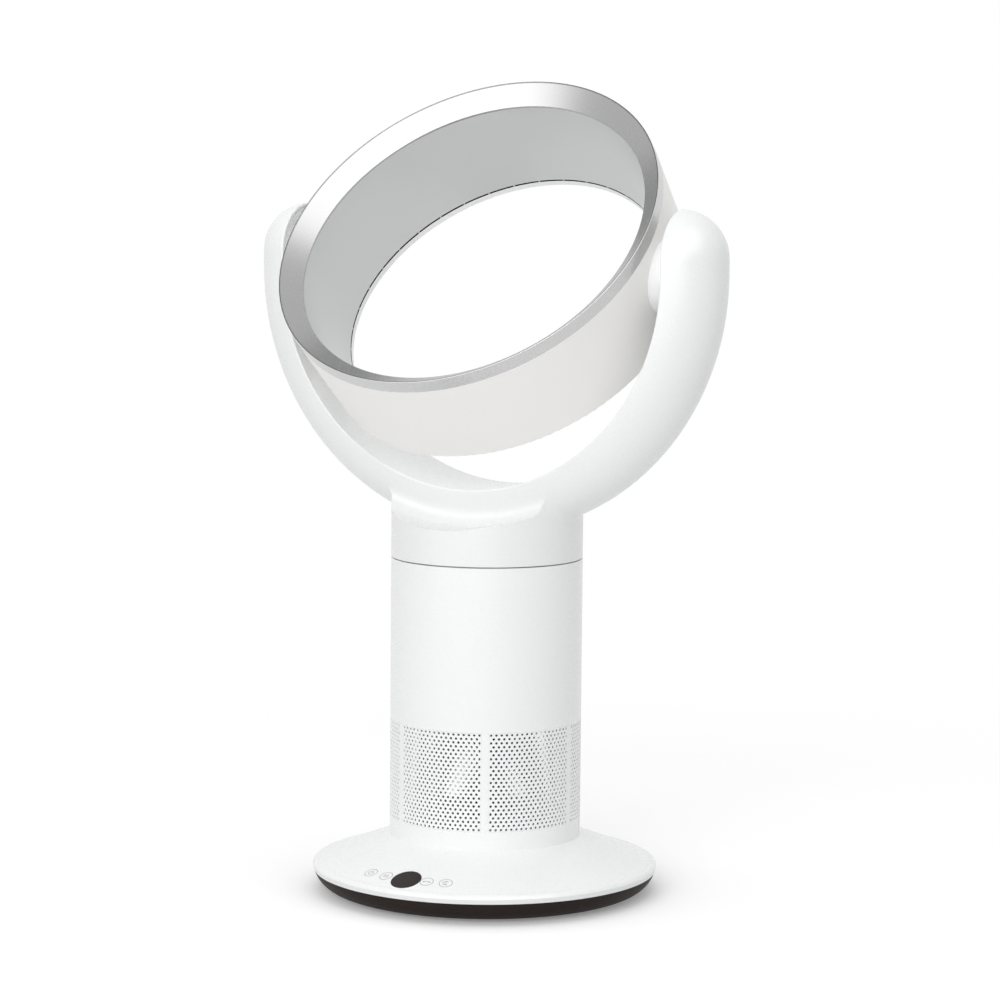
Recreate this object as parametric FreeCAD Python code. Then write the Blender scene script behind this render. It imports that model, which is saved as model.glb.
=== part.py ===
import FreeCAD, Part
import math
import os

# Bladeless fan: a round base, a column with a perforated foot and a hidden impeller, a U-shaped yoke that
# swivels on the column, and a hollow air ring that tilts between the yoke's arms and blows through a slit.
# Frame: origin on the floor under the column's axis, -Y to the front, +X to the right seen from behind -Y,
# +Z up. Lengths are in millimetres and angles in degrees.

Vector = FreeCAD.Vector
axis_x = Vector(1, 0, 0)
axis_y = Vector(0, 1, 0)
axis_z = Vector(0, 0, 1)

# ---- general clearances and walls ----
fit_gap = 0.1             # between fixed pieces that slide together when assembled
running_gap = 0.05        # radial, between a turning journal and its bore
slide_gap = 0.1           # between faces that slide on each other
edge_break = 0.4          # small chamfer on the exposed edges of the column's joints
reach = 400.0             # length of cutting tools that pass right through

# ---- base ----
foot_height = 1.8         # the rubber feet lift the tray this far
foot_radius = 9.0
foot_sunk = 1.5           # how far a foot sits in the tray's floor
foot_count = 6            # round the edge, and one more under the middle
tray_top = 16.5           # the dark tray meets the white cover here
tray_top_radius = 129.5
tray_side_run = 20.1      # how far the tray's side leans in
tray_floor_radius = tray_top_radius - tray_side_run
tray_wall = 3.0
tray_tongue = 4.0         # height of the tongue that locates the cover
tray_bulge = (0.72, 0.36)   # where the tray's side is roundest, as shares of its width and height
foot_circle = tray_floor_radius - 12.4
cover_widest = tray_top_radius + 1.0
cover_widest_height = 20.0
cover_slope_radius = tray_top_radius - 4.0
cover_slope_height = 23.2
cover_wall = 2.6
cover_bulge = (0.22, 0.62)   # where the cover's edge is roundest, as shares of its width and height
skirt_overhang = 0.2      # the cover's skirt stands out past the tray by this much
cover_cable_hole = 15.0
base_screw_circle = foot_circle
base_screw_count = 6
base_screw_bite = 7.0     # how far a screw goes into the cover's post
screw_head_radius = 3.2
screw_head_height = 2.0
screw_radius = 1.5
boss_radius = 4.5
boss_pad = 2.0            # a boss's pad on the tray is this much wider all round
ballast_radius = foot_circle - foot_radius - 4.0
ballast_hole = 22.0
ballast_thickness = 6.0
panel_distance = tray_top_radius - 15.5   # from the column's axis to the middle of the touch panel
display_radius = 11.6
display_thickness = 2.2
touch_radius = 4.4
touch_angles = (-17.0, -9.0, 8.6, 16.2)
board_thickness = 1.6
control_board_depth = 7.0   # below the cover's outer face
control_board_width = 84.0
control_board_length = 15.0
control_post_radius = 2.2
control_post_inset = 4.0
power_board_width = 84.0
power_board_length = 46.0
power_board_lift = 5.0
power_board_gap = 6.0     # from the ballast's hole to the board
power_post_radius = 2.5
power_post_inset = 4.0
capacitor_radius = 6.5
capacitor_height = 14.0
transformer_size = (22.0, 18.0, 12.0)
heat_sink_size = (4.0, 32.0, 13.0)
grommet_radius = 4.6
grommet_bore = 3.0
grommet_height = 10.6
grommet_length = 18.5
grommet_flange = 0.9      # how far the flange stands out all round
grommet_sunk = 2.0        # the grommet's mouth sits this far inside the tray's edge

# ---- column ----
column_radius = 72.2
column_wall = 2.8
column_foot = 43.4
column_inner = column_radius - column_wall
sleeve_height = 88.2
tube_height = 121.9
sleeve_top = column_foot + sleeve_height   # joint between the perforated sleeve and the plain tube
column_top = sleeve_top + tube_height
swivel_seam = 0.8         # the dark line between the column and the yoke's collar
sleeve_flange = 12.0
sleeve_flange_height = 3.0
spigot_height = 8.0
spigot_wall = 2.6
panel_count = 6
panel_angle = 55.6
panel_bottom = column_foot + 14.0
panel_top = sleeve_top - 0.6
panel_thickness = 2.0
panel_lip = 1.0
grille_rows = 6
grille_columns = 5
grille_hole_share = 0.62
grille_margin = 4.0       # plain border of a panel, top and bottom together
grille_side_margin = 4.0    # degrees, both sides together
latch_slot_height = 10.0
latch_slot_width = 1.4
latch_slot_angle = 109.0
sleeve_screw_count = 6

# ---- fan unit in the column ----
duct_radius = column_inner - 12.4
throat_radius = duct_radius - 9.5
bell_radius = duct_radius + 1.0
bell_height = 15.4        # from the foot of the bell mouth's seat on the sleeve to the throat
cone_height = 27.0
duct_step = 4.0
socket_height = 14.0
duct_wall = 2.0
duct_seat = 4.0
throat_height = sleeve_top + bell_height
duct_wide_height = throat_height + cone_height
duct_seat_height = duct_wide_height + duct_step
duct_top = duct_seat_height + socket_height
flange_thickness = 2.0
motor_radius = 23.0
motor_height = 29.0
motor_neck = 2.0
motor_seat = 6.0          # width of the ledge in the bucket that the motor stands on
bucket_wall = 2.4
bucket_floor = 2.5
bucket_bottom = duct_seat_height - 1.0
bucket_top = bucket_bottom + motor_height + 5.0
bucket_top_radius = motor_radius + 4.5
bucket_ring_drop = 4.0    # the ring round the vanes ends this far under the bucket's top
motor_bottom = bucket_bottom + bucket_floor
vane_count = 11
vane_twist = -34.0
vane_thickness = 1.8
vane_root = 3.0           # gap from the bucket ring's lower edge to the vanes
vane_end = 8.0            # and from the vanes to the bucket's top
cap_height = 19.0
isolator_wall = 1.8
impeller_bottom = throat_height - 3.0
impeller_top = bucket_bottom - 2.5
impeller_bowl = 8.0       # the hub is hollow from this far above its nose
hub_small = 13.0
hub_large = motor_radius + 15.0
hub_wall = 5.0
hub_clamp = 4.0           # wall round the shaft
blade_start = 4.0         # from the hub's nose to the blades
blade_sunk = 3.0          # how deep a blade's root goes into the hub
blade_count = 9
blade_twist = 62.0
blade_thickness = 1.6
tip_gap = 1.0
shaft_radius = 2.5
shaft_bottom = impeller_bottom + 4.0
shaft_end = 5.0           # the shaft stops this far under the motor's top

# ---- swivel ----
deck_thickness = 3.0
deck_top = column_top - 3.1
deck_lug_height = 9.0
deck_lug_radius = 5.0
deck_screw_circle = column_inner - 7.4
deck_screw_count = 4
deck_screw_bite = 5.0
deck_screw_sunk = 1.0
head_screw_bite = 6.0
lug_floor = 2.0           # what a lug keeps under its screw hole
air_passage = column_inner - 26.4   # bore of the hollow swivel journal
journal_wall = 3.0
journal_length = 21.4     # below the deck's top
bearing_wall = 3.0
bearing_length = 12.4
journal_bottom = deck_top - journal_length
bearing_bottom = deck_top - bearing_length
slide_ring_inner = column_inner - 16.4
slide_ring_outer = column_inner - 3.4
slide_ring_thickness = 2.0
head_plate_thickness = 4.0
swivel_range = 40.0
swivel_motor_radius = 11.0
gear_teeth = 80
pinion_teeth = 12
gear_room = column_inner - swivel_motor_radius - 0.9   # for the two wheels side by side
gear_module = 2 * gear_room / (gear_teeth + pinion_teeth)
gear_thickness = 6.3
gear_tooth_share = 0.46   # tooth width over the pitch, the rest is backlash
clip_thickness = 1.0
clip_depth = 1.0
clip_width = 3.0
swivel_motor_height = 17.0
swivel_shaft_radius = 2.0
swivel_shaft_reach = 12.0   # how far the pinion's shaft goes down into its motor
swivel_motor_drop = 3.0   # from the gear to the motor's top
bracket_post_offset = 14.0
bracket_post_radius = 3.0
bracket_thickness = 2.0
bracket_margin = 4.0

# ---- yoke ----
ring_radius = 150.0       # of the air ring
yoke_inner_radius = ring_radius + 11.0
yoke_thickness = 34.0
yoke_rise = 19.5          # from the column's top to the yoke's underside
pivot_height = column_top + yoke_rise + yoke_thickness + yoke_inner_radius   # the ring tilts about it
yoke_rounding = 36.0      # radius of the section's rounded outer side
yoke_wall = 2.5
yoke_edge = 1.2           # rounding where the inner face meets the rounded outside
arm_straight = 13.0       # the arms run straight up this far above the pivot
ledge_share = 0.785       # the collar's shoulders run this far up the yoke's thickness
ledge_fillet = 9.0
neck_radius = 30.0
cover_strip = 2.5
pivot_pad_radius = 27.4
pivot_pad_rise = 0.8

# ---- air ring ----
tilt_at_rest = 43.5       # the ring's front looks up by this angle
ring_rear_radius = ring_radius - 4.6
ring_front = 49.1         # from the pivot line forward along the ring's axis
ring_back = 41.1          # and backward
band_width = 11.1
rim_fold = 0.9            # rounding between the band and the bevel
bevel_run = 14.6
bevel_radius = ring_radius - bevel_run
bevel_depth = 12.1
slit_radius = bevel_radius - 8.6
slit_position = ring_back - 6.3   # behind the pivot line
slit_width = 1.4
ring_wall = 2.2
shell_corner = 1.6        # rounding of the shell's rear edge
lip_corner = 0.9          # rounding of the rear lip's edge
lip_hook = 1.8            # the lip's hook laps over the shell's flange by this much
tongue_length = 4.0       # the shell's tongue inside the front rim
nozzle_bulge = 0.8
rear_flange = 4.4
spacer_count = 38
spacer_width = 1.2
journal_radius = 19.0     # hollow trunnion that carries the ring and lets the air in
journal_bore = 16.5
bush_wall = 3.0
bush_flange = 1.7
bush_length = 12.5
bush_inset = 1.4          # the bush's flange is this much smaller than the pad
boss_gap = 0.3
boss_rounding = 2.0
journal_flange = 5.0      # how far the trunnion's flange stands out inside the ring
inlet_gap = 4.0           # the air leaves the trunnion this far outside the nozzle wall
journal_end = 2.0         # the journal runs on past its retaining clip
washer_width = 5.0
washer_thickness = 2.0
retainer_thickness = 2.5
retainer_depth = 0.8


# ---- helpers ----

def outline(start, *steps):
    """A closed wire in the XZ plane. A step is a point (r, z), or a pair (via, end) for an arc."""
    def place(point):
        return Vector(point[0], 0, point[1])

    edges = []
    here = start
    for step in steps + (start,):
        if isinstance(step[0], tuple):
            via, end = step
            edges.append(Part.Arc(place(here), place(via), place(end)).toShape())
        else:
            end = step
            edges.append(Part.makeLine(place(here), place(end)))
        here = end
    return Part.Wire(edges)


def turned(start, *steps):
    """Solid of revolution about Z of an outline given in (radius, height)."""
    return Part.Face(outline(start, *steps)).revolve(Vector(0, 0, 0), axis_z, 360)


def cylinder(radius, low, high, x=0.0, y=0.0):
    return Part.makeCylinder(radius, high - low, Vector(x, y, low))


def tube(outer, inner, low, high, x=0.0, y=0.0):
    return cylinder(outer, low, high, x, y).cut(cylinder(inner, low - 1, high + 1, x, y))


def bar_x(radius, start, end, y=0.0, z=0.0):
    return Part.makeCylinder(radius, end - start, Vector(start, y, z), axis_x)


def tube_x(outer, inner, start, end, z=0.0):
    return bar_x(outer, start, end, 0, z).cut(bar_x(inner, start - 1, end + 1, 0, z))


def spun(shape, angle, about=axis_z):
    copy = shape.copy()
    copy.rotate(Vector(0, 0, 0), about, angle)
    return copy


def around(shape, count, first=0.0):
    return [spun(shape, first + 360.0 * i / count) for i in range(count)]


def merged(first, others):
    return first.fuse(others).removeSplitter()


def polar(radius, angle):
    """Point at an angle from the front (-Y), positive towards +X."""
    turn = math.radians(angle)
    return radius * math.sin(turn), -radius * math.cos(turn)


def screw(shank, length, x, y, head_at, up=True):
    """Pan-head screw along Z. Its head's seat is at head_at, and its shank goes up or down from there."""
    if up:
        head = cylinder(screw_head_radius, head_at - screw_head_height, head_at, x, y)
        stem = cylinder(shank, head_at, head_at + length, x, y)
    else:
        head = cylinder(screw_head_radius, head_at, head_at + screw_head_height, x, y)
        stem = cylinder(shank, head_at - length, head_at, x, y)
    return merged(head, [stem])


def mirrored(shape):
    return shape.mirror(Vector(0, 0, 0), axis_x)


def blade(hub_radius, tip_radius, low, high, twist, thickness, stations=6):
    """Twisted blade from the hub to just inside the duct. The two radii are functions of the height."""
    sections = []
    for i in range(stations):
        share = i / (stations - 1.0)
        height = low + (high - low) * share
        angle = twist * share * (1.5 - 0.5 * share)
        inner = hub_radius(height) - thickness
        outer = tip_radius(height)
        half = thickness / 2
        corners = [Vector(inner, -half, height), Vector(outer, -half, height),
                   Vector(outer, half, height), Vector(inner, half, height)]
        section = Part.makePolygon(corners + corners[:1])
        section.rotate(Vector(0, 0, 0), axis_z, angle)
        sections.append(section)
    return Part.makeLoft(sections, True, True)


def gear_wheel(teeth, module, low, high, tooth_share, points=4):
    """Involute spur wheel. tooth_share is the tooth's width over the circular pitch."""
    pitch = teeth * module / 2
    base = pitch * math.cos(math.radians(20))
    outer = pitch + module
    root = pitch - 1.25 * module
    pressure = math.tan(math.radians(20)) - math.radians(20)
    half_at_pitch = tooth_share * math.pi / teeth

    def half_angle(radius):
        if radius <= base:
            return half_at_pitch + pressure
        roll = math.acos(base / radius)
        return half_at_pitch + pressure - (math.tan(roll) - roll)

    lowest = max(base, root)
    radii = [lowest + (outer - lowest) * i / (points - 1.0) for i in range(points)]
    flank = [(root, half_angle(lowest))] if lowest > root else []
    flank += [(radius, half_angle(radius)) for radius in radii]
    corners = []
    for tooth in range(teeth):
        middle = 2 * math.pi * tooth / teeth
        for radius, half in flank:
            corners.append(Vector(radius * math.cos(middle - half), radius * math.sin(middle - half), low))
        for radius, half in reversed(flank):
            corners.append(Vector(radius * math.cos(middle + half), radius * math.sin(middle + half), low))
    face = Part.Face(Part.makePolygon(corners + corners[:1]))
    return face.extrude(Vector(0, 0, high - low))


# ---- values worked out from the sizes above ----
tray_floor = foot_height + tray_wall
slope = math.atan2(column_foot - cover_slope_height, cover_slope_radius - column_radius)
slope_degrees = math.degrees(slope)
collar_bottom = column_top + swivel_seam
journal_outer = air_passage + journal_wall
head_plate_bottom = deck_top + slide_ring_thickness + slide_gap
gear_pitch = gear_module * gear_teeth / 2
pinion_pitch = gear_module * pinion_teeth / 2
pinion_distance = gear_pitch + pinion_pitch
gear_top = bearing_bottom - slide_gap * 3
gear_bottom = gear_top - gear_thickness
boss_end = yoke_inner_radius - pivot_pad_rise - bush_flange - boss_gap
washer_start = yoke_inner_radius - pivot_pad_rise - bush_flange + bush_length + slide_gap
yoke_centre = yoke_inner_radius + yoke_thickness - yoke_rounding
ledge_radius = yoke_inner_radius + ledge_share * yoke_thickness


def slope_height(radius):
    """Height of the cover's sloping top at a distance from the column's axis."""
    return cover_slope_height + (cover_slope_radius - radius) * math.tan(slope)


# ---- base ----

def cover_envelope(inset):
    """Everything under the cover's outer face, pulled in by inset."""
    drop = inset / math.cos(slope)
    edge = cover_slope_radius - inset * math.tan(slope / 2)
    widest = cover_widest - inset
    skirt = tray_top_radius + skirt_overhang - inset
    rise = cover_slope_height - inset - cover_widest_height
    via = (widest - (widest - edge) * cover_bulge[0], cover_widest_height + rise * cover_bulge[1])
    return turned(
        (0, foot_height), (skirt, foot_height), (skirt, tray_top), (widest, cover_widest_height),
        (via, (edge, slope_height(edge) - drop)),
        (column_radius, column_foot - drop), (0, column_foot - drop))


def make_base_cover():
    shell = cover_envelope(0).cut(cover_envelope(cover_wall))
    shell = shell.cut(cylinder(reach, 0, tray_top))
    shell = shell.cut(cylinder(cover_cable_hole, 0, reach))
    x, y = polar(base_screw_circle, 360.0 / base_screw_count / 2)
    low = tray_floor + boss_radius
    post = cylinder(boss_radius, low, reach, x, y)
    post = post.common(cover_envelope(cover_wall / 2))
    posts = around(post, base_screw_count)
    shell = merged(shell, posts)
    hole = cylinder(screw_radius, 0, low + base_screw_bite + 1, x, y)
    shell = shell.cut(around(hole, base_screw_count))
    x, y = polar(column_inner - sleeve_flange / 2, 0)
    hole = cylinder(screw_radius + fit_gap, 0, reach, x, y)
    shell = shell.cut(around(hole, sleeve_screw_count))
    return shell.cut(on_panel(cylinder(display_radius, -cover_wall * 4, cover_wall * 4), 0))


def on_panel(shape, angle):
    """Places a shape made round the origin on the sloping panel, with its +Z along the slope's normal."""
    copy = shape.copy()
    copy.rotate(Vector(0, 0, 0), axis_x, slope_degrees)
    copy.translate(Vector(0, -panel_distance, slope_height(panel_distance)))
    return spun(copy, angle)


def make_base_tray():
    mid_radius = tray_floor_radius + (tray_top_radius - tray_floor_radius) * tray_bulge[0]
    mid_height = foot_height + (tray_top - foot_height) * tray_bulge[1]
    inner_top = tray_top_radius - tray_wall
    body = turned(
        (0, foot_height), (tray_floor_radius, foot_height),
        ((mid_radius, mid_height), (tray_top_radius, tray_top)),
        (inner_top, tray_top), (inner_top, tray_top + tray_tongue),
        (inner_top - tray_wall * 0.7, tray_top + tray_tongue), (inner_top - tray_wall * 0.7, tray_top),
        ((mid_radius - tray_wall * 0.9, mid_height + tray_wall * 0.9),
         (tray_floor_radius, tray_floor)),
        (0, tray_floor))
    body = merged(body, at_feet(foot_radius + tray_wall, tray_floor - 1, tray_floor + foot_sunk))
    body = body.cut(at_feet(foot_radius + fit_gap, 0, foot_height + foot_sunk))
    x, y = polar(base_screw_circle, 360.0 / base_screw_count / 2)
    pad = cylinder(boss_radius + boss_pad, foot_height, tray_floor + boss_radius - fit_gap, x, y)
    body = merged(body, around(pad, base_screw_count))
    bore = cylinder(screw_radius + fit_gap, 0, reach, x, y)
    recess = cylinder(screw_head_radius + fit_gap, 0, foot_height + screw_head_height + 1, x, y)
    body = body.cut(around(bore.fuse(recess), base_screw_count))
    grommet = Part.makeCylinder(grommet_radius + fit_gap, reach, Vector(0, 0, grommet_height), axis_y)
    return body.cut(grommet)


def at_feet(radius, low, high):
    """A cylinder at each foot: round the tray's edge and under its middle."""
    x, y = polar(foot_circle, 0)
    return around(cylinder(radius, low, high, x, y), foot_count) + [cylinder(radius, low, high)]


def make_rubber_feet():
    return Part.makeCompound(at_feet(foot_radius, 0, foot_height + foot_sunk))


def make_base_screws():
    x, y = polar(base_screw_circle, 360.0 / base_screw_count / 2)
    seat = foot_height + screw_head_height + 1
    length = tray_floor + boss_radius + base_screw_bite - seat
    one = screw(screw_radius - running_gap, length, x, y, seat)
    return Part.makeCompound(around(one, base_screw_count))


def make_ballast_plate():
    return tube(ballast_radius, ballast_hole, tray_floor, tray_floor + ballast_thickness)


def make_display_window():
    disc = on_panel(cylinder(display_radius - fit_gap, -display_thickness, cover_wall * 4), 0)
    return disc.common(cover_envelope(0))


def make_control_board():
    low = -control_board_depth - board_thickness
    plate = Part.makeBox(control_board_width, control_board_length, board_thickness,
                         Vector(-control_board_width / 2, -control_board_length / 2, low))
    plate = on_panel(plate, 0).common(cylinder(tray_top_radius - tray_wall * 2 - 2, 0, reach))
    posts = []
    for side in (-1, 1):
        x = side * (control_board_width / 2 - control_post_inset)
        y = -panel_distance
        height = slope_height(panel_distance) - control_board_depth
        post = cylinder(control_post_radius, height - fit_gap * 4, reach, x, y)
        posts.append(post.common(cover_envelope(cover_wall)))
    return merged(plate, posts)


def make_touch_pads():
    pads = []
    for angle in touch_angles:
        x, y = polar(panel_distance, angle)
        low = slope_height(panel_distance) - control_board_depth
        pad = cylinder(touch_radius, 0, reach, x, y)
        top = pad.common(cover_envelope(cover_wall))
        board_face = on_panel(Part.makeBox(reach, reach, reach, Vector(-reach / 2, -reach / 2,
                              -control_board_depth)), 0)
        pads.append(top.common(board_face))
    return Part.makeCompound(pads)


def make_power_board():
    low = tray_floor + ballast_thickness + power_board_lift
    plate = Part.makeBox(power_board_width, power_board_length, board_thickness,
                         Vector(-power_board_width / 2, ballast_hole + power_board_gap, low))
    post_x = power_board_width / 2 - power_post_inset
    middle = ballast_hole + power_board_gap + power_board_length / 2
    step = power_board_length / 2 - power_post_inset
    posts = []
    for x in (-post_x, post_x):
        for y in (middle - step, middle + step):
            posts.append(cylinder(power_post_radius, low - power_board_lift, low, x, y))
    return merged(plate, posts)


def make_power_parts():
    low = tray_floor + ballast_thickness + power_board_lift + board_thickness
    middle = ballast_hole + power_board_gap + power_board_length / 2
    side = power_board_width * 0.29
    step = capacitor_radius * 1.25
    pieces = [cylinder(capacitor_radius, low, low + capacitor_height, -side, middle + shift)
              for shift in (-step, step)]
    for size, x in ((transformer_size, 0), (heat_sink_size, side)):
        corner = Vector(x - size[0] / 2, middle - size[1] / 2, low)
        pieces.append(Part.makeBox(size[0], size[1], size[2], corner))
    return Part.makeCompound(pieces)


def make_cord_grommet():
    inside = Vector(0, tray_top_radius - grommet_sunk - grommet_length, grommet_height)
    body = Part.makeCylinder(grommet_radius, grommet_length, inside, axis_y)
    flange = Part.makeCylinder(grommet_radius + grommet_flange, 2 * grommet_flange, inside, axis_y)
    bore = Part.makeCylinder(grommet_bore, reach, Vector(0, 0, grommet_height), axis_y)
    return merged(body, [flange]).cut(bore)


# ---- column ----

def window(inner, outer, low, high, angle):
    """Piece of a tube wall between two heights, over an angle centred on the front."""
    ring = tube(outer, inner, low, high)
    half = math.radians(angle / 2)
    far = reach
    wedge = Part.Face(Part.makePolygon([
        Vector(0, 0, low), Vector(-far * math.sin(half), -far * math.cos(half), low),
        Vector(far * math.sin(half), -far * math.cos(half), low), Vector(0, 0, low)]))
    return ring.common(wedge.extrude(Vector(0, 0, high - low)))


def make_intake_sleeve():
    body = turned(
        (column_inner - sleeve_flange, column_foot), (column_radius, column_foot),
        (column_radius, sleeve_top - edge_break), (column_radius - edge_break, sleeve_top),
        (column_inner - fit_gap, sleeve_top),
        (column_inner - fit_gap, sleeve_top + spigot_height),
        (column_inner - fit_gap - spigot_wall, sleeve_top + spigot_height),
        (column_inner - fit_gap - spigot_wall, panel_top), (column_inner, panel_top - spigot_wall),
        (column_inner, column_foot + sleeve_flange_height),
        (column_inner - sleeve_flange, column_foot + sleeve_flange_height))
    lip = math.degrees(panel_lip / column_radius)
    seat = column_radius - panel_thickness
    pocket = window(seat, column_radius + 1, panel_bottom, panel_top, panel_angle)
    opening = window(column_inner - 5, column_radius + 1, panel_bottom + panel_lip,
                     panel_top - panel_lip, panel_angle - 2 * lip)
    corner = Vector(-latch_slot_width / 2, -column_radius - 10, column_foot + sleeve_flange_height)
    slot = Part.makeBox(latch_slot_width, 20, latch_slot_height, corner)
    x, y = polar(column_inner - sleeve_flange / 2, 0)
    hole = cylinder(screw_radius, 0, column_foot + sleeve_flange_height + 1, x, y)
    cuts = around(pocket.fuse(opening), panel_count) + around(hole, sleeve_screw_count)
    cuts += [spun(slot, latch_slot_angle), spun(slot, -latch_slot_angle)]
    return body.cut(cuts)


def make_intake_grilles():
    """Six curved panels, each with a staggered grid of diamond openings."""
    gap = fit_gap / 2
    width = panel_angle - math.degrees(2 * gap / column_radius)
    seat = column_radius - panel_thickness + gap
    panel = window(seat, column_radius, panel_bottom + gap, panel_top - gap, width)
    pitch_angle = (panel_angle - grille_side_margin) / grille_columns
    pitch_height = (panel_top - panel_bottom - grille_margin) / grille_rows
    half_width = math.radians(pitch_angle) * column_radius / 2 * grille_hole_share
    half_height = pitch_height / 2 * grille_hole_share
    diamond = Part.Face(Part.makePolygon([
        Vector(-half_width, -column_radius - 5, 0), Vector(0, -column_radius - 5, -half_height),
        Vector(half_width, -column_radius - 5, 0), Vector(0, -column_radius - 5, half_height),
        Vector(-half_width, -column_radius - 5, 0)])).extrude(Vector(0, 12, 0))
    cuts = []
    for row in range(2 * grille_rows - 1):
        count = grille_columns - row % 2
        height = (panel_bottom + panel_top) / 2 + (row - grille_rows + 1) * pitch_height / 2
        for column in range(count):
            one = spun(diamond, (column - (count - 1) / 2.0) * pitch_angle)
            one.translate(Vector(0, 0, height))
            cuts.append(one)
    return Part.makeCompound(around(panel.cut(cuts), panel_count))


def make_sleeve_screws():
    x, y = polar(column_inner - sleeve_flange / 2, 0)
    seat = column_foot - cover_wall / math.cos(slope)
    one = screw(screw_radius - running_gap, cover_wall + sleeve_flange_height, x, y, seat)
    return Part.makeCompound(around(one, sleeve_screw_count))


def make_column_tube():
    body = turned(
        (column_inner, sleeve_top), (column_radius - edge_break, sleeve_top),
        (column_radius, sleeve_top + edge_break), (column_radius, column_top - edge_break),
        (column_radius - edge_break, column_top), (column_inner, column_top))
    lug_top = deck_top - deck_thickness
    x, y = polar(deck_screw_circle, 45)
    lug = cylinder(deck_lug_radius, lug_top - deck_lug_height, lug_top, x, y)
    bridge = Part.makeBox(2 * deck_lug_radius, column_inner - deck_screw_circle + 1, deck_lug_height,
                          Vector(-deck_lug_radius, -column_inner - 1, lug_top - deck_lug_height))
    lug = lug.fuse(spun(bridge, 45)).common(cylinder(column_radius - 1, 0, reach))
    body = merged(body, around(lug, deck_screw_count))
    hole = cylinder(screw_radius, lug_top - deck_lug_height + lug_floor, reach, x, y)
    return body.cut(around(hole, deck_screw_count))


# ---- fan unit ----

def make_fan_duct():
    flange_low = sleeve_top + spigot_height
    flange_outer = column_inner - fit_gap
    bell = (bell_radius, flange_low)
    bell_mid = (throat_radius + (bell_radius - throat_radius) * 0.3,
                throat_height - (throat_height - flange_low) * 0.7)
    seat_radius = duct_radius + duct_seat
    return turned(
        bell, (bell_mid, (throat_radius, throat_height)), (duct_radius, duct_wide_height),
        (duct_radius, duct_seat_height), (seat_radius, duct_seat_height), (seat_radius, duct_top),
        (seat_radius + duct_wall, duct_top), (seat_radius + duct_wall, duct_seat_height - duct_wall),
        (duct_radius + duct_wall, duct_seat_height - duct_wall),
        (duct_radius + duct_wall, duct_wide_height),
        (throat_radius + duct_wall, throat_height),
        ((bell_mid[0] + duct_wall, bell_mid[1] + duct_wall), (bell_radius, flange_low + flange_thickness)),
        (flange_outer, flange_low + flange_thickness), (flange_outer, flange_low))


def duct_inner(height):
    if height < throat_height:
        return throat_radius
    if height > duct_wide_height:
        return duct_radius
    share = (height - throat_height) / (duct_wide_height - throat_height)
    return throat_radius + (duct_radius - throat_radius) * share


def hub_radius_at(height):
    share = (height - impeller_bottom) / (impeller_top - impeller_bottom)
    return hub_small + (hub_large - hub_small) * share


def make_impeller():
    hub = turned(
        (0, impeller_bottom), (hub_small, impeller_bottom),
        ((hub_small + (hub_large - hub_small) * 0.42,
          impeller_bottom + (impeller_top - impeller_bottom) * 0.56),
         (hub_large, impeller_top)), (0, impeller_top))
    inner_hub = turned(
        (shaft_radius + hub_clamp, impeller_bottom + impeller_bowl),
        (hub_small + 1, impeller_bottom + impeller_bowl * 1.5),
        (hub_large - hub_wall, impeller_top + 1), (shaft_radius + hub_clamp, impeller_top + 1))
    hub = hub.cut(inner_hub)

    def hub_surface(height):
        return hub_radius_at(height) - blade_sunk

    def tip(height):
        return duct_inner(height) - tip_gap - 0.4

    start = impeller_bottom + blade_start
    one = blade(hub_surface, tip, start, impeller_top - 1, blade_twist, blade_thickness)
    wheel = merged(hub, around(one, blade_count))
    wheel = wheel.cut(inner_hub)
    return wheel.cut(cylinder(shaft_radius, 0, reach))


def make_motor_shaft():
    return cylinder(shaft_radius, shaft_bottom, motor_bottom + motor_height - shaft_end)


def make_motor():
    body = cylinder(motor_radius, motor_bottom, motor_bottom + motor_height)
    neck = cylinder(shaft_radius * 3, motor_bottom - motor_neck, motor_bottom + 1)
    bore = cylinder(shaft_radius + running_gap, 0, motor_bottom + motor_height - shaft_end + 1)
    return merged(body, [neck]).cut(bore)


def bucket_radius(height):
    share = (height - bucket_bottom) / (bucket_top - bucket_bottom)
    return hub_large + (bucket_top_radius - hub_large) * share


def make_motor_bucket():
    inner = motor_radius + fit_gap
    ring_low = duct_seat_height + isolator_wall
    cup = turned(
        (motor_radius - motor_seat, bucket_bottom), (hub_large, bucket_bottom),
        (bucket_top_radius, bucket_top), (inner, bucket_top), (inner, motor_bottom),
        (motor_radius - motor_seat, motor_bottom))
    ring_inner = duct_radius
    ring_outer = duct_radius + duct_seat - isolator_wall - 2 * fit_gap
    ring = tube(ring_outer, ring_inner, ring_low, bucket_top - bucket_ring_drop)

    def ring_surface(height):
        return ring_inner + 0.6

    vane = blade(bucket_radius, ring_surface, ring_low + vane_root, bucket_top - vane_end, vane_twist,
                 vane_thickness, 4)
    return merged(cup, [ring] + around(vane, vane_count))


def make_duct_isolator():
    inner = duct_radius + fit_gap * 2
    outer = duct_radius + duct_seat - fit_gap
    low = duct_seat_height
    return turned(
        (inner, low), (outer, low), (outer, duct_top), (outer - isolator_wall, duct_top),
        (outer - isolator_wall, low + isolator_wall), (inner, low + isolator_wall))


def make_bucket_cap():
    ball = (bucket_top_radius ** 2 + cap_height ** 2) / (2 * cap_height)
    centre = Vector(0, 0, bucket_top + cap_height - ball)
    dome = Part.makeSphere(ball, centre).cut(Part.makeSphere(ball - bucket_wall, centre))
    return dome.common(cylinder(reach, bucket_top, reach))


# ---- swivel ----

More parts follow.
